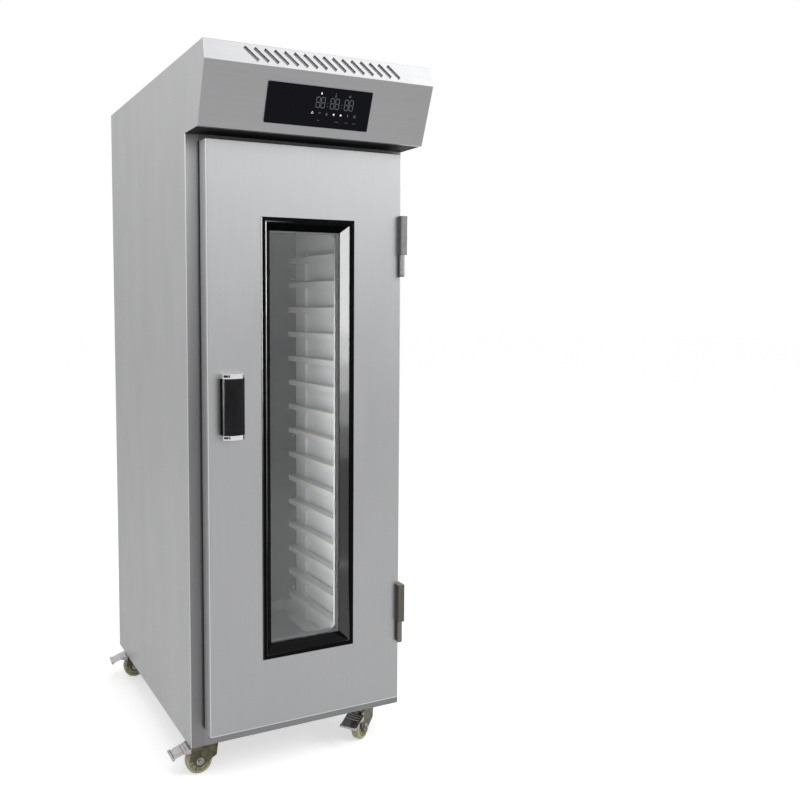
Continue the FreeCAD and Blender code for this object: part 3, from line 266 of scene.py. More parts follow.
def picture_frame(section, low, high):
    """Closed section carried round a box's outline in XZ, with mitred corners. The section's points are
    (outward, Y), from that outline."""
    section = np.asarray(section, float)
    low, high = np.array(low)[[0, 2]], np.array(high)[[0, 2]]
    corners = np.array([(-1, -1), (1, -1), (1, 1), (-1, 1)])
    across = (high + low) / 2 + corners[:, None, :] * ((high - low) / 2 + section[None, :, :1])
    along = np.broadcast_to(section[None, :, 1], across.shape[:2])
    points = np.stack([across[..., 0], along, across[..., 1]], -1).reshape(-1, 3)
    return points, grid_faces(4, len(section), True, True)


# ---------------------------------------------------------------- what the frame says
def entry(entries, name):
    """The one of a list's entries that has a name."""
    for item in entries:
        if item["name"] == name:
            return item
    raise RuntimeError("the record has no " + name)


def moving(name):
    """Place and axis of a joint."""
    joint = entry(record["behaviour"]["joints"], name)
    return np.array(joint["pos_m"]), np.array(joint["axis"])


def mounting(name):
    """Place, radius and length of a mount."""
    mount = entry(record["mounts"], name)
    return np.array(mount["pos_m"]), mount["dims"]["r_mm"] * MM, mount["dims"]["length_mm"] * MM


def mesh_values(items, field, size=3):
    """One value, or one row of values, for each point or face of a mesh."""
    values = np.zeros(len(items) * size)
    items.foreach_get(field, values)
    return values.reshape(-1, size) if size > 1 else values


def node_points(node):
    """Corner points of a built part."""
    return mesh_values(built[node].data.vertices, "co")


def apart(values, gap):
    """Lowest and highest value of each group, where groups lie further apart than a gap."""
    values = np.unique(np.round(values, 5))
    groups = np.split(values, np.flatnonzero(np.diff(values) > gap) + 1)
    return [(group[0], group[-1]) for group in groups]


def largest_face(node):
    """Middle, sideways, upward and outward directions of a built part's widest forward face."""
    faces = built[node].data.polygons
    areas = mesh_values(faces, "area", 1)
    normals = mesh_values(faces, "normal")
    large_share = 0.2
    out = normals[np.argmin(np.where(areas > large_share * areas.max(), normals[:, 1], 1))]
    right = np.array([1.0, 0, 0])
    up = np.cross(out, right)
    x, z, y = (node_points(node) @ axis for axis in (right, up, out))
    return (x.min() + x.max()) / 2 * right + (z.min() + z.max()) / 2 * up + y.max() * out, right, up, out


# ---------------------------------------------------------------- finishes
class Nodes:
    """Short ways to add and join the nodes of one tree."""

    def __init__(self, tree):
        self.tree = tree

    def node(self, kind, **values):
        """New shader node of a kind, with its own settings."""
        made = self.tree.nodes.new("ShaderNode" + kind)
        for key, value in values.items():
            setattr(made, key, value)
        return made

    def set(self, node, **inputs):
        """The node, with constants for its inputs. An underscore stands for a space in an input's name."""
        for key, value in inputs.items():
            node.inputs[key.replace("_", " ")].default_value = value
        return node

    def join(self, value, socket):
        """Leads another node's output to a socket, or gives the socket a constant."""
        if isinstance(value, bpy.types.NodeSocket):
            self.tree.links.new(value, socket)
        else:
            socket.default_value = value

    def filled(self, node, *values):
        """First output of a node whose first inputs get these values."""
        for value, socket in zip(values, node.inputs):
            self.join(value, socket)
        return node.outputs[0]

    def math(self, operation, *values):
        """Result of one sum on values or outputs."""
        return self.filled(self.node("Math", operation=operation), *values)

    def part(self, vector, axis):
        """One coordinate of a vector."""
        parts = self.node("SeparateXYZ")
        self.join(vector, parts.inputs[0])
        return parts.outputs[axis]

    def remap(self, value, low, high, from_low=0.3, from_high=0.7, easing="LINEAR"):
        """Value moved from one range to another, held at the ends."""
        node = self.node("MapRange", interpolation_type=easing)
        return self.filled(node, value, from_low, from_high, low, high)

    def mixed(self, factor, first, second):
        """Blend of two shaders."""
        return self.filled(self.node("MixShader"), factor, first, second)

    def seen(self):
        """1 for rays from the camera, a mirror or a pane, and 0 for light on matt surfaces."""
        path = self.node("LightPath").outputs
        direct = self.math("MAXIMUM", path["Is Camera Ray"], path["Is Glossy Ray"])
        return self.math("MAXIMUM", direct, path["Is Transmission Ray"])


class Finish(Nodes):
    """One procedural material on object coordinates."""

    def __init__(self, name, color, metallic=0.0, roughness=0.5, specular=0.5):
        self.material = bpy.data.materials.new(name)
        self.material.use_nodes = True
        super().__init__(self.material.node_tree)
        self.surface = self.tree.nodes["Principled BSDF"]
        self.output = self.tree.nodes["Material Output"].inputs["Surface"]
        self.set(self.surface, Base_Color=(*color, 1), Metallic=metallic, Roughness=roughness,
                 Specular_IOR_Level=specular)
        self.place = self.node("TexCoord").outputs["Object"]

    def stretched(self, scale):
        """Object coordinates with a scale for each axis."""
        mapping = self.set(self.node("Mapping"), Scale=scale)
        self.join(self.place, mapping.inputs["Vector"])
        return mapping.outputs["Vector"]

    def noise(self, scale, stretch=(1, 1, 1), detail=3.0, roughness=0.55):
        """Cloudy noise, on object coordinates that may be stretched."""
        texture = self.set(self.node("TexNoise"), Scale=scale, Detail=detail, Roughness=roughness)
        self.join(self.stretched(stretch), texture.inputs["Vector"])
        return texture.outputs["Fac"]

    def along(self, axis, start, stop):
        """0 to 1 between two places on one axis."""
        return self.remap(self.part(self.place, axis), 0, 1, start, stop)

    def facing(self, axis, start, stop, sides=True):
        """0 to 1 as the surface turns to face along one axis, on both sides or on the positive one."""
        way = self.part(self.node("TexCoord").outputs["Normal"], axis)
        return self.remap(self.math("ABSOLUTE", way) if sides else way, 0, 1, start, stop)

    def blend(self, factor, first, second, kind="MIX"):
        """Colour between two, each a colour or another node's output."""
        node = self.node("Mix", data_type="RGBA", blend_type=kind)
        self.join(factor, node.inputs["Factor"])
        for socket, value in ((node.inputs[6], first), (node.inputs[7], second)):
            self.join(value if isinstance(value, bpy.types.NodeSocket) else (*value, 1), socket)
        return node.outputs[2]

    def scaled(self, color, where, factor):
        """Colour multiplied by a factor, or by one for each channel, as far as a 0 to 1 value says."""
        return self.blend(where, color, np.broadcast_to(factor, 3), "MULTIPLY")

    def mottled(self, value, color, dark, light, *span):
        """A colour's darker to lighter shades, as a value rises."""
        return self.blend(self.remap(value, 0, 1, *span), shade(color, dark), shade(color, light))

    def base(self, color):
        self.join(color, self.surface.inputs["Base Color"])

    def rough(self, value, low, high, *span):
        self.join(self.remap(value, low, high, *span), self.surface.inputs["Roughness"])

    def bump(self, height, strength, distance=0.0005):
        node = self.set(self.node("Bump"), Strength=strength, Distance=distance)
        self.join(height, node.inputs["Height"])
        self.join(node.outputs["Normal"], self.surface.inputs["Normal"])


def shade(color, factor):
    """Lighter or darker tone of a colour."""
    return tuple(min(1.0, c * factor) for c in color)


def brushed_sheet(name, color, grain_axis="z", roughness=None, metallic=1.0, painted_fade=None, edges=None,
                  right=None, top=None, front=None, bend=None, rim=None):
    """Brushed stainless: long fine streaks along one axis, soft clouds in tone, and faint wiped smears.

    Where they are given, these multiply the tone as painted light and shade: fade, as (axis, start, stop,
    factor), painted shade towards the stop; edges, a painted highlight on what faces sideways; right, painted
    shade on what faces the studio's bright side; top, painted shade on what faces up; front, painted shade on
    what faces forwards, more so low down; bend, a painted highlight on what turns a corner; and rim, as
    (start, stop, factor), a painted highlight on what turns up or down."""
    sheet = bpy.context.scene.proofer_sheet
    roughness = sheet.roughness if roughness is None else roughness
    finish = Finish(name, color, metallic=metallic, roughness=roughness)
    stretch = [420.0, 420.0, 420.0]
    stretch["xyz".index(grain_axis)] = 5.0
    streaks = finish.noise(1.0, stretch, detail=4)
    clouds = finish.noise(2.2, detail=2)
    smears = finish.noise(9.0, (1, 1, 0.35), detail=5, roughness=0.7)
    tinted = finish.mottled(streaks, color, 0.965, 1.035)
    tinted = finish.blend(finish.remap(clouds, 0, 0.5), tinted, shade(color, 1.03))
    # Painted shade: darker along one axis, towards the stop.
    if painted_fade:
        axis, start, stop, factor = painted_fade
        tinted = finish.scaled(tinted, finish.along(axis, start, stop), factor)
    # Painted highlight on faces that look sideways.
    if edges:
        tinted = finish.scaled(tinted, finish.facing("X", 0.6, 0.9), edges)
    # Painted shade on faces that look towards the studio's bright side.
    if right:
        tinted = finish.scaled(tinted, finish.facing("X", 0.6, 0.9, False), right)
    # Painted shade on faces that look up.
    if top:
        tinted = finish.scaled(tinted, finish.facing("Z", 0.1, 0.3, False), top)
    # Painted shade on faces that look forwards, darker low down, as of the door's shadow.
    if front:
        dull = finish.scaled(tinted, finish.along("Z", 2.1, 1.0), front)
        tinted = finish.blend(finish.facing("Y", -0.75, -0.97, False), tinted, dull)
    # Painted highlight on bends: brighter where a face turns between forwards and sideways, undone on the
    # flat sides.
    if bend:
        tinted = finish.scaled(tinted, finish.facing("X", 0.15, 0.4), bend)
        tinted = finish.scaled(tinted, finish.facing("X", 0.9, 0.99), 1 / bend)
    # Painted highlight on faces that turn up or down.
    if rim:
        start, stop, factor = rim
        tinted = finish.scaled(tinted, finish.facing("Z", start, stop), factor)
    finish.base(tinted)
    finish.rough(smears, roughness - 0.03, roughness + 0.04)
    finish.bump(streaks, sheet.grain, 0.0002)
    return finish.material


def black_powder_coat(name, color=(0.006, 0.006, 0.0065)):
    """Fine matt black texture, paler where dust has settled."""
    finish = Finish(name, color, roughness=0.62, specular=0.25)
    grit = finish.noise(1400, detail=2)
    dust = finish.noise(14, detail=5)
    finish.base(finish.blend(finish.remap(dust, 0, 0.4, 0.5, 0.8), color, shade(color, 2.2)))
    finish.rough(grit, 0.55, 0.7)
    finish.bump(grit, 0.25, 0.0002)
    return finish.material


def gloss_black(name, color=(0.0018, 0.0018, 0.0020), roughness=0.06, specular=0.026):
    """Polished black moulding with a faint ripple and light handling marks."""
    finish = Finish(name, color, roughness=roughness, specular=specular)
    ripple = finish.noise(180, detail=1)
    marks = finish.noise(38, (1, 1, 0.4), detail=6, roughness=0.75)
    finish.base(finish.mottled(marks, color, 1, 1.6))
    finish.rough(marks, roughness, roughness + 0.1, 0.45, 0.75)
    finish.bump(ripple, 0.03, 0.0003)
    return finish.material


def moulded(name, color, roughness=0.5):
    """Moulded plastic: a fine spark-eroded texture and a slight cloud in tone."""
    finish = Finish(name, color, roughness=roughness, specular=0.4)
    texture = finish.noise(1100, detail=2)
    clouds = finish.noise(25, detail=3)
    finish.base(finish.mottled(clouds, color, 0.94, 1.05))
    finish.rough(texture, roughness - 0.06, roughness + 0.06)
    finish.bump(texture, 0.12, 0.0002)
    return finish.material


def cast_metal(name, color, roughness=0.45, painted_fade=None):
    """Pressure-cast metal: pebbled skin, darker in its pits, and, where a fade is given, painted shade and a
    painted warm tint low down.
    """
    finish = Finish(name, color, metallic=0.9, roughness=roughness)
    pebbles = finish.noise(420, detail=3)
    patches = finish.noise(70, detail=4)
    mottled = finish.mottled(pebbles, color, 0.7, 1.2)
    mottled = finish.blend(finish.remap(patches, 0, 0.6), mottled, shade(color, 0.75))
    # Painted shade and a painted warm reflection, growing low down.
    if painted_fade:
        mottled = finish.scaled(mottled, finish.along("Z", 1.3, 0.7), painted_fade)
    finish.base(mottled)
    finish.rough(patches, roughness - 0.08, roughness + 0.1)
    finish.bump(pebbles, 0.35, 0.0006)
    return finish.material


def zinc_plate(name, color, second, roughness=0.3):
    """Zinc plating with a clouded passivation colour and rubbed bright spots."""
    finish = Finish(name, color, metallic=0.95, roughness=roughness)
    clouds = finish.noise(55, detail=4)
    rubbed = finish.noise(160, detail=5, roughness=0.7)
    clouded = finish.blend(finish.remap(clouds, 0, 1, 0.38, 0.62), color, second)
    finish.base(finish.blend(finish.remap(rubbed, 0, 0.3, 0.5, 0.8), clouded, shade(second, 1.25)))
    finish.rough(rubbed, roughness - 0.03, roughness + 0.08, 0.4, 0.8)
    finish.bump(clouds, 0.02, 0.0003)
    return finish.material


def polished(name, color=(0.5, 0.5, 0.51), roughness=0.25):
    """Polished plating with hairline wipe marks."""
    finish = Finish(name, color, metallic=1.0, roughness=roughness)
    hairs = finish.noise(1.0, (60, 900, 900), detail=3)
    finish.base(finish.mottled(hairs, color, 0.97, 1.03))
    finish.rough(hairs, roughness, roughness + 0.07)
    finish.bump(hairs, 0.02, 0.0001)
    return finish.material


def nylon(name, color=(0.38, 0.375, 0.24)):
    """Cream nylon, deeper in tone inside, with scuffs on the rolling face."""
    finish = Finish(name, color, roughness=0.42, specular=0.45)
    depth = finish.noise(40, detail=3)
    scuffs = finish.noise(240, detail=6, roughness=0.75)
    mixed = finish.mottled(depth, color, 0.86, 1.1)
    finish.base(finish.blend(finish.remap(scuffs, 0, 0.35, 0.55, 0.75), mixed, shade(color, 0.6)))
    finish.rough(scuffs, 0.36, 0.6)
    finish.bump(scuffs, 0.08, 0.0003)
    finish.set(finish.surface, Subsurface_Weight=0.08, Subsurface_Radius=(0.004, 0.003, 0.001))
    return finish.material


def soft_rubber(name, color=(0.02, 0.02, 0.021)):
    """Soft seal rubber: matt, with a faint bloom."""
    finish = Finish(name, color, roughness=0.7, specular=0.3)
    bloom = finish.noise(30, detail=5)
    grain = finish.noise(900, detail=2)
    finish.base(finish.blend(finish.remap(bloom, 0, 0.6), color, shade(color, 2.0)))
    finish.rough(grain, 0.62, 0.8)
    finish.bump(grain, 0.1, 0.0002)
    return finish.material


def clear_pane(name, tint=(0.98, 0.984, 0.984)):
    """Thin clear glass: mostly see-through, lightly dusty, and a better mirror towards grazing angles."""
    finish = Finish(name, tint)
    clear = finish.set(finish.node("BsdfTransparent"), Color=(*tint, 1))
    mirror = finish.set(finish.node("BsdfGlossy"), Color=(0.9, 0.905, 0.905, 1), Roughness=0.01)
    haze = finish.set(finish.node("BsdfDiffuse"), Color=(0.5, 0.51, 0.52, 1))
    edge = finish.set(finish.node("Fresnel"), IOR=1.35)
    dust = finish.noise(60, detail=6, roughness=0.8)
    film = finish.mixed(finish.remap(dust, 0.0, 0.02, 0.4, 0.8), clear.outputs[0], haze.outputs[0])
    finish.join(finish.mixed(edge.outputs[0], film, mirror.outputs[0]), finish.output)
    finish.tree.nodes.remove(finish.surface)
    return finish.material


def touch_glass(name, color=(0.0035, 0.0038, 0.006)):
    """Back-printed black glass, deep and clean, with fine dust."""
    finish = Finish(name, color, roughness=0.06, specular=0.05)
    dust = finish.noise(300, detail=6, roughness=0.8)
    finish.base(finish.blend(finish.remap(dust, 0, 0.4, 0.55, 0.8), color, (0.012, 0.012, 0.014)))
    finish.rough(dust, 0.05, 0.14, 0.5, 0.8)
    return finish.material


def glowing_mark(name, color, strength):
    """Printed mark with light behind it, a little uneven."""
    finish = Finish(name, color, roughness=0.4)
    glow = finish.mottled(finish.noise(500, detail=1), color, 0.85, 1)
    finish.base(glow)
    finish.join(glow, finish.surface.inputs["Emission Color"])
    finish.set(finish.surface, Emission_Strength=strength)
    return finish.material


def circuit_board(name, lacquer=(0.01, 0.07, 0.03), track=(0.03, 0.16, 0.07)):
    """Green lacquer over copper tracks."""
    finish = Finish(name, lacquer, roughness=0.35)
    tracks = finish.set(finish.node("TexBrick"), Scale=60, Mortar_Size=0.03)
    finish.join(finish.stretched((1, 1, 2)), tracks.inputs["Vector"])
    finish.base(finish.blend(tracks.outputs["Fac"], lacquer, track))
    return finish.material


def rigid_foam(name, pit=(0.45, 0.38, 0.18), wall=(0.66, 0.60, 0.36)):
    """Pale poured foam with open cells."""
    finish = Finish(name, wall, roughness=0.9, specular=0.1)
    cells = finish.set(finish.node("TexVoronoi"), Scale=500)
    finish.join(finish.place, cells.inputs["Vector"])
    finish.base(finish.blend(finish.remap(cells.outputs["Distance"], 0, 1), pit, wall))
    finish.bump(cells.outputs["Distance"], 0.3)
    return finish.material


def opal_cover(name, dull=(0.76, 0.76, 0.72), bright=(0.86, 0.86, 0.82)):
    """Opal lamp cover with a faint glow."""
    finish = Finish(name, bright, roughness=0.35)
    ribs = finish.noise(1.0, (700, 2, 2), detail=1)
    finish.base(finish.blend(finish.remap(ribs, 0, 1), dull, bright))
    finish.bump(ribs, 0.3, 0.0004)
    finish.set(finish.surface, Emission_Color=(1.0, 0.97, 0.9, 1), Emission_Strength=0.6)
    return finish.material


def dress(names, finish):
    """Gives built parts, named with spaces between, their finish."""
    for name in names.split():
        mesh = built[name].data
        mesh.materials.clear()
        mesh.materials.append(finish)
        mesh.polygons.foreach_set("material_index", np.zeros(len(mesh.polygons), int))


# ---------------------------------------------------------------- operators
class Maker(bpy.types.Operator):
    """Base of the operators that make and finish the cabinet."""

    bl_options = {"REGISTER", "UNDO"}


class PROOFER_OT_casing(Maker):
    """Finish the outer sheet: sides, back, roof, base and front frame"""

    bl_idname = "proofer.casing"
    bl_label = "Casing"

    def execute(self, context):
        sheet = context.scene.proofer_sheet
        low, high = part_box("side_panel_left")
        # Painted shade on the side panels: darker towards the back, on the right side and on the forward
        # flanges low down; and a painted highlight on their front bends.
        dress("side_panel_left side_panel_right",
              brushed_sheet("casing_sheet", sheet.casing, painted_fade=("Y", low.y, high.y, 0.84), right=0.6,
                            front=0.5, bend=1.35))
        dress("back_panel", brushed_sheet("back_sheet", sheet.casing))
        # The frame sheet's darker tone is painted shade, as of the door's shadow.
        dress("face_frame", brushed_sheet("frame_sheet", sheet.frame))
        dress("roof_panel base_pan", brushed_sheet("roof_sheet", sheet.casing, "y"))
        # Painted shade on the fascia's upward faces, and a painted highlight on faces that turn up or down.
        dress("head_fascia",
              brushed_sheet("fascia_sheet", sheet.fascia, "x", top=0.64, rim=(0.78, 0.92, 1.4)))
        dress("head_floor", black_powder_coat("black_soffit"))
        dress("insulation_foam door_foam", rigid_foam("poured_foam"))
        return {"FINISHED"}


class PROOFER_OT_louvres(Maker):
    """Make the pressed hoods over the rear slots of the head"""

    bl_idname = "proofer.louvres"
    bl_label = "Louvre hoods"

    def execute(self, context):
        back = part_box("back_panel")[1].y
        head_low, head_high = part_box("head_fascia")
        middle = (head_low.z + head_high.z) / 2
        hoods, pitch = 6, 0.018
        half_length, rise, depth, foot, sheet, end_share = 0.094, 0.0105, 0.006, 0.004, 0.0008, 0.3
        rows, columns = 41, 13
        along, bend = np.meshgrid(np.linspace(-1, 1, rows), np.linspace(0, np.pi / 2, columns), indexing="ij")
        # Hood: depth and height follow a quarter sine. At the two ends the depth shrinks to nothing, and the
        # height to a share of itself.
        end = (1 - np.abs(along) ** 10) ** 0.5
        z = rise * np.cos(bend) * (end_share + (1 - end_share) * end) - foot
        outer = np.stack([along * half_length, depth * np.sin(bend) * end, z], -1).reshape(-1, 3)
        inner = outer - np.array([0, sheet, 0]) * end.reshape(-1, 1)
        count = len(outer)
        index = np.arange(count).reshape(rows, columns)
        rim = np.concatenate([index[0], index[1:-1, -1], index[-1, ::-1], index[1:-1, 0][::-1]])
        following = np.roll(rim, -1)
        around = list(np.stack([rim, following, following + count, rim + count], -1))
        face = grid_faces(rows, columns)
        hood = (np.concatenate([outer, inner]), face + [corners[::-1] + count for corners in face] + around)
        heights = middle + (np.arange(hoods) - (hoods - 1) / 2) * pitch
        shape = joined([(hood[0] + (0, back, height), hood[1]) for height in heights])
        make_piece("rear_louvres", shape, brushed_sheet("louvre_sheet", context.scene.proofer_sheet.casing),
                   "cabinet")
        return {"FINISHED"}


class PROOFER_OT_vent_screen(Maker):
    """Make the corrugated screen behind the slanted slots of the head"""

    bl_idname = "proofer.vent_screen"
    bl_label = "Vent screen"

    def execute(self, context):
        points = node_points("head_fascia")
        low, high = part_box("head_fascia")
        # The slotted strip runs from the brow, which stands furthest forward, up to the roof's edge.
        near = 0.001
        brow = np.array([0, low.y, points[points[:, 1] < low.y + near][:, 2].max()])
        crest = np.array([0, points[points[:, 2] > high.z - near][:, 1].min(), high.z])
        up = (crest - brow) / np.linalg.norm(crest - brow)
        out = np.cross((1, 0, 0), up)
        half_width, half_height, sheet, drop = 0.24, 0.021, 0.0008, 0.0045
        amplitude, wavelength = 0.0007, 0.004
        x = np.linspace(-half_width, half_width, 481)
        # Height of the sheet: amplitude * sin(2 pi x / wavelength).
        wave = amplitude * np.sin(2 * np.pi * x / wavelength)
        shape = corrugated(x, ((-half_height, wave), (half_height, wave),
                               (half_height, wave - sheet), (-half_height, wave - sheet)))
        shape = placed(shape, (brow + crest) / 2 - out * drop, (1, 0, 0), up, out)
        make_piece("vent_screen", shape, moulded("screen_grey", (0.30, 0.30, 0.305)), "cabinet",
                   smooth=False)
        return {"FINISHED"}


class PROOFER_OT_fittings(Maker):
    """Make the back screws, the inlet's thread and the gland's fluted cap"""

    bl_idname = "proofer.fittings"
    bl_label = "Rear fittings"

    def execute(self, context):
        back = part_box("back_panel")[1].y
        self.make_back_screws(back)
        self.make_inlet_thread()
        self.make_gland_cap(back)
        return {"FINISHED"}

    def make_back_screws(self, back):
        """Pan heads in place of the plain screws of the back panel."""
        low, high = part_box("panel_screws")
        least_gap = 0.02
        rows = apart(node_points("panel_screws")[:, 2], least_gap)
        radius = (rows[0][1] - rows[0][0]) / 2
        places = [(x, back, sum(row) / 2) for x in (low.x + radius, high.x - radius) for row in rows]
        shape = pan_heads(places, REAR, radius, high.y - back)
        made = make_piece("back_screws", shape, polished("screw_steel"), "cabinet")
        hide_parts("panel_screws")

    def make_inlet_thread(self):
        """Thread over the plain water inlet, short of both its ends."""
        place, radius, length = mounting("water_inlet")
        step, proud, sunk, depth, pitch = 0.0015, 0.0007, 0.001, 0.0009, 0.0018
        shape = thread(radius + proud, depth, pitch, length - 2 * step, radius - sunk)
        shape = placed(shape, place - (0, length / 2 - step, 0), *REAR)
        make_piece("inlet_thread", shape, moulded("inlet_white", (0.62, 0.63, 0.62)), "cabinet")

    def make_gland_cap(self, back):
        """Fluted cap, closed onto the bore. Its radius is the middle one plus the flute depth * cosine of
        twelve times the angle, eased in at both ends."""
        place = mounting("cable_entry")[0]
        bore, flutes, flute_depth, segments, flange = 0.0095, 12, 0.0006, 96, 0.0061
        heights = np.array([0, 0.0006, 0.002, 0.005, 0.007, 0.008, 0.008])
        middle = np.array([0.0122, 0.0128, 0.0131, 0.0131, 0.0126, 0.0115, bore])
        ease = np.array([0, 0.6, 1, 1, 0.7, 0, 0])
        radii = middle[:, None] + flute_depth * ease[:, None] * np.cos(flutes * full_turn(segments))
        radii = np.concatenate([np.full((1, segments), bore), radii])
        cap = turned(radii, np.concatenate([heights[:1], heights]), segments, True)
        cap = placed(cap, (place[0], back + flange, place[2]), *REAR)
        make_piece("gland_cap", cap, moulded("cap_black", (0.012, 0.012, 0.012)), "cabinet")


def ring(radius, stroke, start=0.0, stop=360.0):
    """Outline of an open ring, between two angles in degrees."""
    a = np.radians(np.linspace(start, stop, 24))
    outer = np.column_stack([np.cos(a), np.sin(a)]) * radius
    return np.concatenate([outer, outer[::-1] * (1 - stroke / radius)])


def disc(radius, corners, turn=0.0):
    """Regular outline, with its first corner at an angle in degrees."""
    a = full_turn(corners) + np.radians(turn)
    return np.column_stack([np.cos(a), np.sin(a)]) * radius


def bar(width, height, rise=0.0):
    """Rectangle with its middle at a height."""
    corners = np.array([(-1, -1), (1, -1), (1, 1), (-1, 1)])
    return corners * (width, height) / 2 + (0, rise)


def drop(size):
    """Water drop: a circle drawn out to a point at the top."""
    a = full_turn(24)
    return size * np.column_stack([0.62 * np.sin(a) * np.sin(a / 2) ** 1.2, -np.cos(a)])


def numeral(width, height, stroke):
    """Outlines of a seven-bar numeral: six-sided bars round two squares."""
    w, h, s = width / 2, height / 2, stroke / 2
    flat = [(0, y, w, False) for y in (h, 0, -h)]
    upright = [(x, y, h / 2, True) for y in (h / 2, -h / 2) for x in (-w, w)]
    outlines = []
    for x, y, half_length, standing in flat + upright:
        reach = half_length - 0.4 * s
        shape = np.array([(-reach, 0), (s - reach, s), (reach - s, s),
                          (reach, 0), (reach - s, -s), (s - reach, -s)])
        outlines.append((shape[:, ::-1] if standing else shape) + (x, y))
    return outlines


class PROOFER_OT_control_panel(Maker):
    """Finish the control glass and print its numerals, signs and touch keys"""

    bl_idname = "proofer.control_panel"
    bl_label = "Control panel"

    def execute(self, context):
        panel = context.scene.proofer_panel
        dress("control_glass", touch_glass("printed_glass"))
        dress("control_board", circuit_board("green_board"))
        unlit, lit = [], []
        self.print_numerals(panel, unlit)
        self.print_icons(panel, unlit, lit)
        self.print_keys(panel, unlit, lit)
        middle, right, up, out = largest_face("control_glass")
        lift = 0.00001
        # The marks that are off still get a faint glow: painted light.
        for name, outlines, color, strength in (("panel_marks_unlit", unlit, panel.unlit, 0.35),
                                                ("panel_marks_lit", lit, panel.lit, 0.9)):
            shape = joined([prism(outline, panel.mark_depth) for outline in outlines])
            shape = placed(shape, middle + out * lift, right, up, out)
            make_piece(name, shape, glowing_mark(name, color, strength), "cabinet",
                       smooth=False)
        return {"FINISHED"}

    def print_numerals(self, panel, unlit):
        """Three pairs of numerals, with two dots after each pair but the last."""
        pairs = 3
        shape = numeral(panel.digit_width, panel.digit_height, panel.digit_stroke)
        half_step = (panel.digit_width + panel.digit_gap) / 2
        for k in range(pairs):
            x = panel.group_start + k * panel.group_pitch
            unlit.extend(outline + (x + side * half_step, panel.group_rise)
                         for side in (-1, 1) for outline in shape)
            if k < pairs - 1:
                unlit.extend(disc(0.0012, 12) + (x + panel.group_pitch / 2, panel.group_rise - fall)
                             for fall in (0.009, 0.001))

    def print_icons(self, panel, unlit, lit):
        """A drop, a thermometer and a clock, one over each pair of numerals."""
        drawn = ((lit, [drop(0.0031)]),
                 (unlit, [bar(0.0016, 0.008, 0.001), disc(0.0022, 16) - (0, 0.003)]),
                 (unlit, [ring(0.0034, 0.0008), bar(0.0008, 0.003, 0.001)]))
        for k, (marks, shapes) in enumerate(drawn):
            x = panel.group_start + k * panel.group_pitch
            marks.extend(shape + (x, panel.icon_rise) for shape in shapes)

    def print_keys(self, panel, unlit, lit):
        """Power, menu, lamp, back, forward, water and clock keys, with small bars under some of them."""
        keys = ((lit, [ring(0.0028, 0.0006, 130, 410), bar(0.0006, 0.0030, 0.0022)]),
                (unlit, [bar(0.0066, 0.0012), bar(0.0066, 0.0012, 0.0024)]),
                (unlit, [disc(0.004, 3, 90), bar(0.0072, 0.001, -0.0032)]),
                (lit, [disc(0.0030, 3, 180)]),
                (lit, [disc(0.0030, 3)]),
                (unlit, [drop(0.004)]),
                (unlit, [ring(0.0038, 0.0009), disc(0.0012, 12)]))
        for k, (marks, shapes) in enumerate(keys):
            x = panel.key_start + k * panel.key_pitch
            marks.extend(shape + (x, panel.key_rise) for shape in shapes)
        unlit.extend(bar(width, 0.0014) + (x, panel.tick_rise)
                     for x, width in ((0.001, 0.006), (0.054, 0.011), (0.083, 0.008), (0.1055, 0.009)))


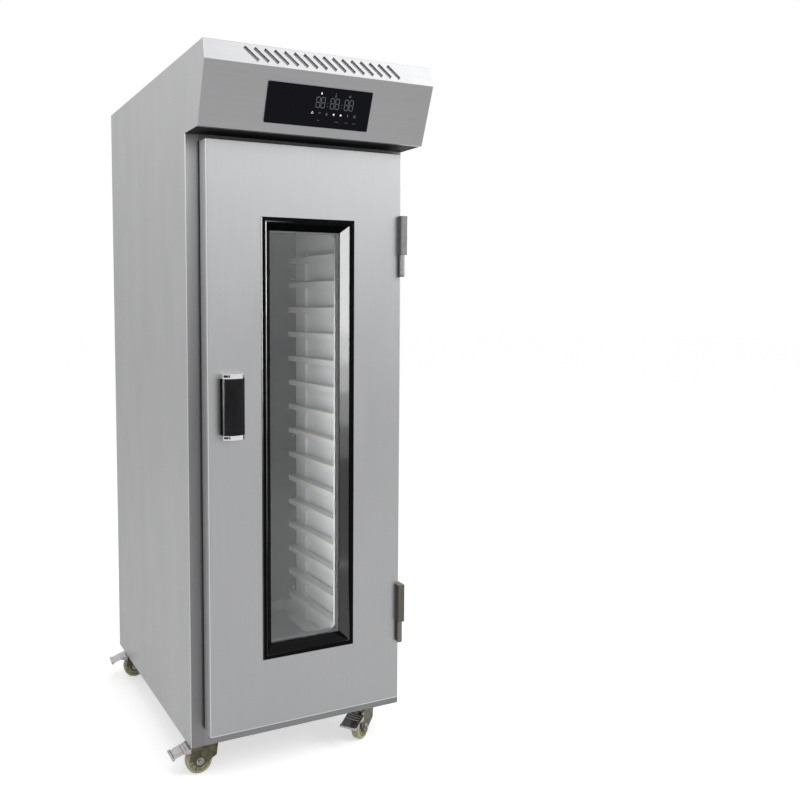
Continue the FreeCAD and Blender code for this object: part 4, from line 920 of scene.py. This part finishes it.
class PROOFER_OT_door(Maker):
    """Finish the door's skins, hinges and handle"""

    bl_idname = "proofer.door"
    bl_label = "Door"

    def execute(self, context):
        sheet = context.scene.proofer_sheet
        # Painted highlight on the door's sides, top and bottom, and painted shade on its right side.
        dress("door_skin_outer",
              brushed_sheet("door_sheet", sheet.door, edges=2.0, right=0.3, rim=(0.05, 0.4, 2.0)))
        dress("door_skin_inner", brushed_sheet("door_liner", sheet.casing))
        dress("handle_grip", gloss_black("handle_black", (0.012, 0.012, 0.013), 0.12, 0.02))
        dress("handle_blocks", polished("handle_plate", (0.66, 0.66, 0.67), 0.08))
        # The fades are painted shade and a painted warm reflection: the lower hinge darker and warmer low
        # down.
        dress("hinge_door_leaves",
              cast_metal("hinge_cast", (0.155, 0.157, 0.158), painted_fade=(0.62, 0.585, 0.47)))
        dress("hinge_frame_leaves",
              cast_metal("hinge_steel", (0.26, 0.265, 0.27), 0.3, painted_fade=(0.58, 0.555, 0.46)))
        dress("hinge_pins", cast_metal("pin_dark", (0.08, 0.08, 0.082), 0.4))
        self.make_handle_plugs()
        self.make_hinge_screws()
        return {"FINISHED"}

    def make_handle_plugs(self):
        """Oval covers in the recesses of the handle's end blocks.

        Surface: superellipse rings |x/a|^4 + |z/b|^4 = s^4, raised by height * (1 - s^4)."""
        low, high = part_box("handle_blocks")
        half_width, half_height, height = 0.0068, 0.0034, 0.0016
        recess_start, recess_width, block, standoff = 0.0015, 0.015, 0.012, 0.019
        segments, skirt = 40, 0.4
        dome = np.array([0.0, 0.3, 0.55, 0.75, 0.88, 0.96, 1.0])
        scale = np.append(dome, [1.0, 0.0])[:, None]
        rise = height * np.append(1 - dome ** 4, [-skirt, -skirt])
        cos, sin = np.cos(full_turn(segments)), np.sin(full_turn(segments))
        x = half_width * np.sign(cos) * np.sqrt(np.abs(cos))
        z = half_height * np.sign(sin) * np.sqrt(np.abs(sin))
        cap = np.stack([scale * x, scale * z, np.repeat(rise[:, None], segments, 1)], -1).reshape(-1, 3)
        cap = (cap, grid_faces(len(scale), segments, ring_columns=True))
        across = low.x + recess_start + recess_width / 2
        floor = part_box("door_skin_outer")[0].y - standoff
        shape = joined([placed(cap, (across, floor, middle), *FRONT)
                        for middle in (low.z + block / 2, high.z - block / 2)])
        make_piece("handle_plugs", shape, moulded("plug_black", (0.01, 0.01, 0.011)), "door")

    def make_hinge_screws(self):
        """Two screws in the foot of each frame half."""
        low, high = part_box("hinge_frame_leaves")
        leaf, inset, foot, from_side = 0.058, 0.013, 0.003, 0.010
        radius, head = 0.0042, 0.0018
        heights = (low.z + inset, low.z + leaf - inset, high.z - leaf + inset, high.z - inset)
        places = [(high.x - from_side, high.y - foot, z) for z in heights]
        shape = pan_heads(places, FRONT, radius, head)
        make_piece("hinge_screws", shape, polished("hinge_screw_steel"), "cabinet")


class PROOFER_OT_window(Maker):
    """Finish the window's bezel, panes, spacer and inner lining"""

    bl_idname = "proofer.window"
    bl_label = "Window"

    def execute(self, context):
        dress("window_bezel", gloss_black("bezel_black"))
        dress("glass_panes", clear_pane("window_glass"))
        dress("glass_spacer", brushed_sheet("spacer_aluminium", (0.30, 0.303, 0.306), "z", 0.5, metallic=0.3))
        lining = moulded("lining_grey", (0.27, 0.273, 0.276))
        dress("window_lining", lining)
        self.make_bezel_lip()
        self.make_lining_corners(lining)
        return {"FINISHED"}

    def make_bezel_lip(self):
        """Rounded lip over the corner where the bezel's face turns into its slope: an arc about that corner,
        closed behind. Its circle stands a little proud of both faces."""
        low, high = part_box("window_bezel")
        corner, radius, proud, half_turn = 0.012, 0.0118, 0.0002, np.radians(24)
        slope_step, slope_sunk, face_sunk = 0.001, 0.003, 0.0015
        across = (radius + proud) * np.sin(half_turn) - corner
        depth = low.y + (radius - proud) * np.cos(half_turn)
        turn = np.radians(np.linspace(-3, 52, 15))
        arc = np.column_stack([across - radius * np.sin(turn), depth - radius * np.cos(turn)])
        behind = [(arc[-1, 0] + slope_step, arc[-1, 1] + slope_sunk), (arc[0, 0], low.y + face_sunk)]
        shape = picture_frame(np.concatenate([arc, behind]), low, high)
        make_piece("bezel_lip", shape, gloss_black("lip_black"), "door")

    def make_lining_corners(self, finish):
        """Rounded corners of the inner lining: a square less a quarter circle, as deep as the lining."""
        low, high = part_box("window_lining")
        inset, radius, clearance = 0.027, 0.013, 0.0003
        turn = np.linspace(np.pi, 1.5 * np.pi, 10)
        outline = np.concatenate([[(0, 0)], radius * (1 + np.column_stack([np.cos(turn), np.sin(turn)]))])
        corner = prism(outline, high.y - low.y - 2 * clearance)
        shapes = []
        for x, right in ((low.x + inset, (1, 0, 0)), (high.x - inset, (-1, 0, 0))):
            for z, up in ((low.z + inset, (0, 0, 1)), (high.z - inset, (0, 0, -1))):
                shapes.append(placed(corner, (x, low.y + clearance, z), right, up, (0, 1, 0)))
        make_piece("lining_corners", joined(shapes), finish, "door")


class PROOFER_OT_gasket(Maker):
    """Make the ribbed door seal, which stands for the plain one"""

    bl_idname = "proofer.gasket"
    bl_label = "Gasket"

    def execute(self, context):
        low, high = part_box("door_gasket")
        width = 0.014
        # One side of the section, from the snap foot over the bellows to the flat magnet face, as (distance
        # from the middle, share of the depth). The other side mirrors it.
        side = np.array([(0.0040, 0.0), (0.0040, 0.16), (0.0016, 0.24), (0.0048, 0.36), (0.0016, 0.48),
                         (0.0048, 0.6), (0.0070, 0.7), (0.0070, 0.97), (0.0065, 1.0)])
        section = np.concatenate([side, side[::-1] * (-1, 1)])
        section = section * (1, high.y - low.y) + (-width / 2, low.y)
        made = make_piece("door_seal", picture_frame(section, low, high), soft_rubber("seal_black"), "door",
                          smooth=False)
        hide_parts("door_gasket")
        return {"FINISHED"}


class PROOFER_OT_chamber(Maker):
    """Finish the chamber: liner, runners, duct panel, fan, heater, lamp and pipes"""

    bl_idname = "proofer.chamber"
    bl_label = "Chamber"

    def execute(self, context):
        sheet = context.scene.proofer_sheet
        duct_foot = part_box("duct_panel")[0].z
        dress("liner_left liner_right liner_back",
              brushed_sheet("liner_sheet", sheet.liner, "z", 0.4, metallic=0.5))
        # Painted shade: the chamber floor darker than the ceiling.
        dress("liner_ceiling liner_floor",
              brushed_sheet("liner_flat_sheet", sheet.liner, "y", 0.4, metallic=0.5,
                            painted_fade=("Z", 1.6, 0.3, 0.4)))
        dress("tray_rails", brushed_sheet("runner_sheet", (0.52, 0.52, 0.50), "y", 0.35, metallic=0.6))
        dress("rack_uprights", brushed_sheet("upright_sheet", sheet.liner, "z", 0.38, metallic=0.55))
        # Painted shade: the duct panel darker towards its foot.
        dress("duct_panel",
              brushed_sheet("duct_sheet", sheet.duct, "z", 0.45, metallic=0.6,
                            painted_fade=("Z", 1.0, duct_foot, 0.55)))
        dress("fan_housing fan_impeller", moulded("fan_black", (0.012, 0.012, 0.012)))
        dress("heater_element", cast_metal("heater_sheath", (0.18, 0.16, 0.15), 0.5))
        dress("chamber_lamp", opal_cover("lamp_opal"))
        dress("climate_probe", polished("probe_steel", (0.6, 0.6, 0.6)))
        dress("spray_pipe drain_pipe", brushed_sheet("pipe_steel", (0.55, 0.55, 0.56), "z", 0.3))
        dress("water_valve", moulded("valve_white", (0.62, 0.63, 0.62)))
        dress("power_box", moulded("box_grey", (0.28, 0.285, 0.29)))
        dress("cable_gland", moulded("gland_black", (0.012, 0.012, 0.012)))
        self.make_duct_screws()
        self.make_lamp_lens()
        return {"FINISHED"}

    def make_duct_screws(self):
        """Pan heads down both sides of the duct panel."""
        low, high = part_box("duct_panel")
        inset, from_foot, from_head, count = 0.012, 0.04, 0.03, 6
        radius, head = 0.0045, 0.002
        places = [(x, low.y, z) for x in (low.x + inset, high.x - inset)
                  for z in np.linspace(low.z + from_foot, high.z - from_head, count)]
        shape = pan_heads(places, FRONT, radius, head)
        make_piece("duct_screws", shape, polished("duct_screw_steel"), "cabinet")

    def make_lamp_lens(self):
        """Ribbed lens under the lamp. Height follows the absolute sine of the place along the lamp."""
        low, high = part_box("chamber_lamp")
        ribs, steps, rib_depth, skin = 30, 8, 0.0012, 0.0003
        end_inset, side_inset, sunk = 0.012, 0.006, 0.0005
        x = np.linspace(low.x + end_inset, high.x - end_inset, ribs * steps + 1)
        wave = rib_depth * np.abs(np.sin(np.linspace(0, ribs * np.pi, len(x))))
        front, rear, base = low.y + side_inset, high.y - side_inset, low.z + sunk
        lens = corrugated(x, ((front, base), (front, base - skin - wave), (rear, base - skin - wave),
                              (rear, base)))
        make_piece("lamp_lens", lens, opal_cover("lens_opal"), "cabinet", smooth=False)


class PROOFER_OT_casters(Maker):
    """Finish the casters"""

    bl_idname = "proofer.casters"
    bl_label = "Casters"

    def execute(self, context):
        olive = zinc_plate("fork_olive", (0.052, 0.048, 0.028), (0.095, 0.088, 0.058), 0.34)
        bright = zinc_plate("pedal_bright", (0.27, 0.255, 0.262), (0.36, 0.345, 0.352), 0.24)
        axle = zinc_plate("axle_zinc", (0.20, 0.20, 0.18), (0.28, 0.28, 0.26), 0.22)
        dark = zinc_plate("thread_zinc", (0.22, 0.21, 0.18), (0.30, 0.29, 0.26))
        cream = nylon("wheel_nylon")
        dress("caster_stems", olive)
        for corner in CORNERS:
            for part, finish in (("fork", olive), ("pedal", bright), ("axle", axle), ("wheel", cream)):
                dress("caster_%s_%s" % (part, corner), finish)
            self.make_bolt_end(corner, dark)
            self.make_dust_ring(corner, olive)
            self.make_wheel_ribs(corner, cream)
        return {"FINISHED"}

    def make_bolt_end(self, corner, finish):
        """Threaded end of the axle, out of its nut."""
        middle, axis = moving("roll_" + corner)
        reach = np.ptp(node_points("caster_axle_" + corner) @ axis) / 2
        radius, depth, pitch, length, past_axle = 0.0036, 0.0005, 0.001, 0.005, 0.002
        shape = placed(thread(radius, depth, pitch, length), middle - axis * (reach + past_axle),
                       np.cross(axis, (0, 0, 1)), (0, 0, 1), axis)
        make_piece("axle_thread_" + corner, shape, finish, "fork_" + corner)

    def make_dust_ring(self, corner, finish):
        """Half-round cover round the swivel race, closed behind."""
        middle = moving("swivel_" + corner)[0]
        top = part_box("caster_fork_" + corner)[1].z
        inner, seat, bulge, drop = 0.0222, 0.0236, 0.0019, 0.0026
        turn = np.linspace(-np.pi / 2, np.pi / 2, 9)
        radii = np.concatenate([[inner], seat + bulge * np.cos(turn), [inner]])
        heights = top - drop + bulge * np.concatenate([[-1], np.sin(turn), [1]])
        points, faces = turned(radii, heights, 48, True)
        shape = (points + (middle[0], middle[1], 0), faces)
        make_piece("dust_ring_" + corner, shape, finish, "fork_" + corner)

    def make_wheel_ribs(self, corner, finish):
        """Thin webs in each dished side of the wheel, from hub to rim."""
        middle, axis = moving("roll_" + corner)
        up = np.array([0, 0, 1.0])
        along = np.cross(axis, up)
        ribs, inner, outer, deep, shallow, half = 10, 0.010, 0.0300, 0.0108, 0.0142, 0.0009
        hub_run, hub_fall = 0.004, 0.001
        outline = [(inner, deep), (outer, deep), (outer, shallow), (inner + hub_run, shallow),
                   (inner, shallow - hub_fall)]
        points, faces = prism(outline, 2 * half)
        web = (points - (0, 0, half), faces)
        shapes = []
        for outward in (-axis, axis):
            for turn in full_turn(ribs):
                ray = np.cos(turn) * along + np.sin(turn) * up
                shapes.append(placed(web, middle, ray, outward, np.cross(ray, outward)))
        make_piece("wheel_ribs_" + corner, joined(shapes), finish, "wheel_" + corner, smooth=False)


def softbox(name, power, width, height, place, aim, mirrored=False):
    """Rectangular lamp aimed at a point. It shows in mirrors only where that is wanted."""
    data = bpy.data.lights.new(name, "AREA")
    data.shape = "RECTANGLE"
    data.size, data.size_y = width, height
    data.energy = power
    made = bpy.data.objects.new(name, data)
    made.location = place
    made.rotation_euler = (Vector(aim) - Vector(place)).to_track_quat("-Z", "Y").to_euler()
    made.visible_camera = False
    made.visible_glossy = mirrored
    bpy.context.scene.collection.objects.link(made)
    return made


class PROOFER_OT_stage(Maker):
    """Make the floor, surroundings, lamps and camera"""

    bl_idname = "proofer.stage"
    bl_label = "Stage"

    def execute(self, context):
        scene = context.scene
        studio = scene.proofer_studio
        scene.view_settings.view_transform = "Standard"
        self.make_surroundings(scene, studio)
        self.make_floor(scene, studio)
        self.make_camera(scene, studio)
        side = 1.8
        softbox("key", studio.key_power, side, side, (2.1, -2.6, 2.8), (0, -0.3, 1.2))
        side = 3.0
        softbox("overhead", studio.fill_power, side, side, (-0.5, -1.2, 4.2), (0, 0, 1.0))
        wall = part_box("liner_left")[0]
        from_wall, from_front, middle, width, height = 0.06, 0.05, 0.8, 0.05, 1.1
        inside = softbox("chamber", studio.chamber_power, width, height,
                         (wall.x + from_wall, wall.y + from_front, middle), (0.28, -0.16, middle))
        inside.data.spread = np.radians(100)
        return {"FINISHED"}

    def make_surroundings(self, scene, studio):
        """White surroundings, with an even light for matt surfaces and a shaded one for mirrored rays.

        The mirrored brightness grows smoothly with height, and more so towards the front and the right."""
        world = bpy.data.worlds.new("studio")
        scene.world = world
        world.use_nodes = True
        nodes = Nodes(world.node_tree)
        way = nodes.node("TexCoord").outputs["Generated"]
        growth = studio.sky_high - studio.sky_low
        # Each ramp is its value at the start and stop, and the direction's coordinate there.
        rise = nodes.remap(nodes.part(way, "Z"), 0.0, growth, -0.12, 0.55, "SMOOTHSTEP")
        side = nodes.remap(nodes.part(way, "X"), 1.0, 1.0 + studio.sky_side, 0.22, 0.95, "SMOOTHSTEP")
        front = nodes.remap(nodes.part(way, "Y"), 0.25, 1.0, 0.8, 0.0, "SMOOTHSTEP")
        shaded = nodes.math("MULTIPLY", nodes.math("MULTIPLY", rise, side), front)
        shaded = nodes.math("ADD", shaded, studio.sky_low)
        matt, mirrored, plain = (nodes.filled(nodes.node("Background"), (1, 1, 1, 1), strength)
                                 for strength in (studio.sky, shaded, 1.0))
        lit = nodes.mixed(nodes.seen(), matt, mirrored)
        lit = nodes.mixed(nodes.node("LightPath").outputs["Is Camera Ray"], lit, plain)
        nodes.join(lit, nodes.tree.nodes["World Output"].inputs["Surface"])

    def make_floor(self, scene, studio):
        """Wide pale floor that keeps the cabinet's soft shadow."""
        reach, below = 30.0, 0.0002
        corners = [(x * reach, y * reach, -below) for x, y in ((-1, -1), (1, -1), (1, 1), (-1, 1))]
        mesh = bpy.data.meshes.new("floor")
        mesh.from_pydata(corners, [], [(0, 1, 2, 3)])
        made = bpy.data.objects.new("floor", mesh)
        scene.collection.objects.link(made)
        finish = Finish("floor_pale", (0.8, 0.8, 0.8), roughness=1.0, specular=0.0)
        grain = finish.noise(3.0, detail=2)
        finish.base(finish.blend(finish.remap(grain, 0, 1), (0.79, 0.79, 0.79), (0.81, 0.81, 0.81)))
        glow = finish.node("Emission")
        finish.join(finish.math("MULTIPLY", finish.seen(), studio.floor_glow), glow.inputs["Strength"])
        total = finish.filled(finish.node("AddShader"), finish.surface.outputs[0], glow.outputs[0])
        finish.join(total, finish.output)
        made.data.materials.append(finish.material)

    def make_camera(self, scene, studio):
        """Camera at the eye, level from side to side."""
        data = bpy.data.cameras.new("camera")
        data.lens = studio.lens
        data.sensor_width = 36
        data.shift_x, data.shift_y = studio.shift_x, studio.shift_y
        data.clip_start, data.clip_end = 0.05, 200
        camera = bpy.data.objects.new("camera", data)
        camera.location = studio.eye
        camera.rotation_euler = Euler((np.pi / 2 - studio.dip, 0, studio.turn), "XYZ")
        scene.collection.objects.link(camera)
        scene.camera = camera


class PROOFER_OT_strips(Maker):
    """Make the narrow lamps that show in the window's black frame and in the handle"""

    bl_idname = "proofer.strips"
    bl_label = "Strip lamps"

    def execute(self, context):
        lip = bpy.data.objects["bezel_lip"]
        # Each bank fades towards the floor in steps, given as (low, high, share of full power).
        left = ((1.16, 2.10, 1.0), (1.02, 1.16, 0.8), (0.88, 1.02, 0.55),
                (0.72, 0.88, 0.32), (0.56, 0.72, 0.15), (0.02, 0.56, 0.07))
        right = ((1.25, 2.10, 1.0), (1.0, 1.25, 0.36), (0.7, 1.0, 0.17), (0.4, 0.7, 0.085), (0.1, 0.4, 0.045))
        left_lamps = self.bank("left", left, (-1.50, -1.10), (0.0, -0.38), 0.42)
        # The left bank goes on along the floor, where the lowest part of the frame mirrors it.
        left_lamps.append(("floor_strip", 0.075, 1.4, 1.0, (-0.98, -0.8, 0.01), (-0.98, -0.8, 1.0)))
        self.light("left", left_lamps, (built["window_bezel"], built["handle_grip"], lip))
        self.light("right", self.bank("right", right, (1.74, -0.95), (-0.18, -0.40), 2.7), (lip,))
        return {"FINISHED"}

    def bank(self, name, steps, place, aim, width):
        """One lamp for each step, all on one upright and facing another."""
        return [("%s_strip_%d" % (name, k), share, width, high - low, (*place, (low + high) / 2),
                 (*aim, (low + high) / 2)) for k, (low, high, share) in enumerate(steps)]

    def light(self, name, lamps, parts):
        """Lamps that only some parts mirror, and that give no other light."""
        receivers = bpy.data.collections.new(name + "_lit_parts")
        for part in parts:
            receivers.objects.link(part)
        for lamp_name, share, width, height, place, aim in lamps:
            power = bpy.context.scene.proofer_studio.strip_power * share * width * height
            lamp = softbox(lamp_name, power, width, height, place, aim, True)
            lamp.visible_diffuse = False
            lamp.light_linking.receiver_collection = receivers


class PROOFER_PT_panel(bpy.types.Panel):
    """Lists the steps in their order, and the settings."""

    bl_idname = "PROOFER_PT_panel"
    bl_label = "Proofing Cabinet"
    bl_space_type = "VIEW_3D"
    bl_region_type = "UI"
    bl_category = "Proofer"

    def draw(self, context):
        column = self.layout.column()
        for operator in OPERATORS:
            column.operator(operator.bl_idname)
        for group in SETTINGS:
            box = self.layout.box()
            settings = getattr(context.scene, group)
            for name in settings.__annotations__:
                box.prop(settings, name)


SETTINGS = {"proofer_sheet": SheetSettings, "proofer_panel": PanelSettings, "proofer_studio": StudioSettings}
OPERATORS = (PROOFER_OT_stage, PROOFER_OT_casing, PROOFER_OT_louvres, PROOFER_OT_vent_screen,
             PROOFER_OT_fittings, PROOFER_OT_control_panel, PROOFER_OT_door, PROOFER_OT_window,
             PROOFER_OT_gasket, PROOFER_OT_chamber, PROOFER_OT_casters, PROOFER_OT_strips)


def register():
    for settings in SETTINGS.values():
        bpy.utils.register_class(settings)
    for name, settings in SETTINGS.items():
        setattr(bpy.types.Scene, name, PointerProperty(type=settings))
    for operator in OPERATORS:
        bpy.utils.register_class(operator)
    bpy.utils.register_class(PROOFER_PT_panel)


def unregister():
    bpy.utils.unregister_class(PROOFER_PT_panel)
    for operator in reversed(OPERATORS):
        bpy.utils.unregister_class(operator)
    for name in SETTINGS:
        delattr(bpy.types.Scene, name)
    for settings in reversed(SETTINGS.values()):
        bpy.utils.unregister_class(settings)


def main():
    register()
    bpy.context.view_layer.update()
    for operator in OPERATORS:
        group, step = operator.bl_idname.split(".")
        getattr(getattr(bpy.ops, group), step)()


if __name__ == "__main__":
    main()
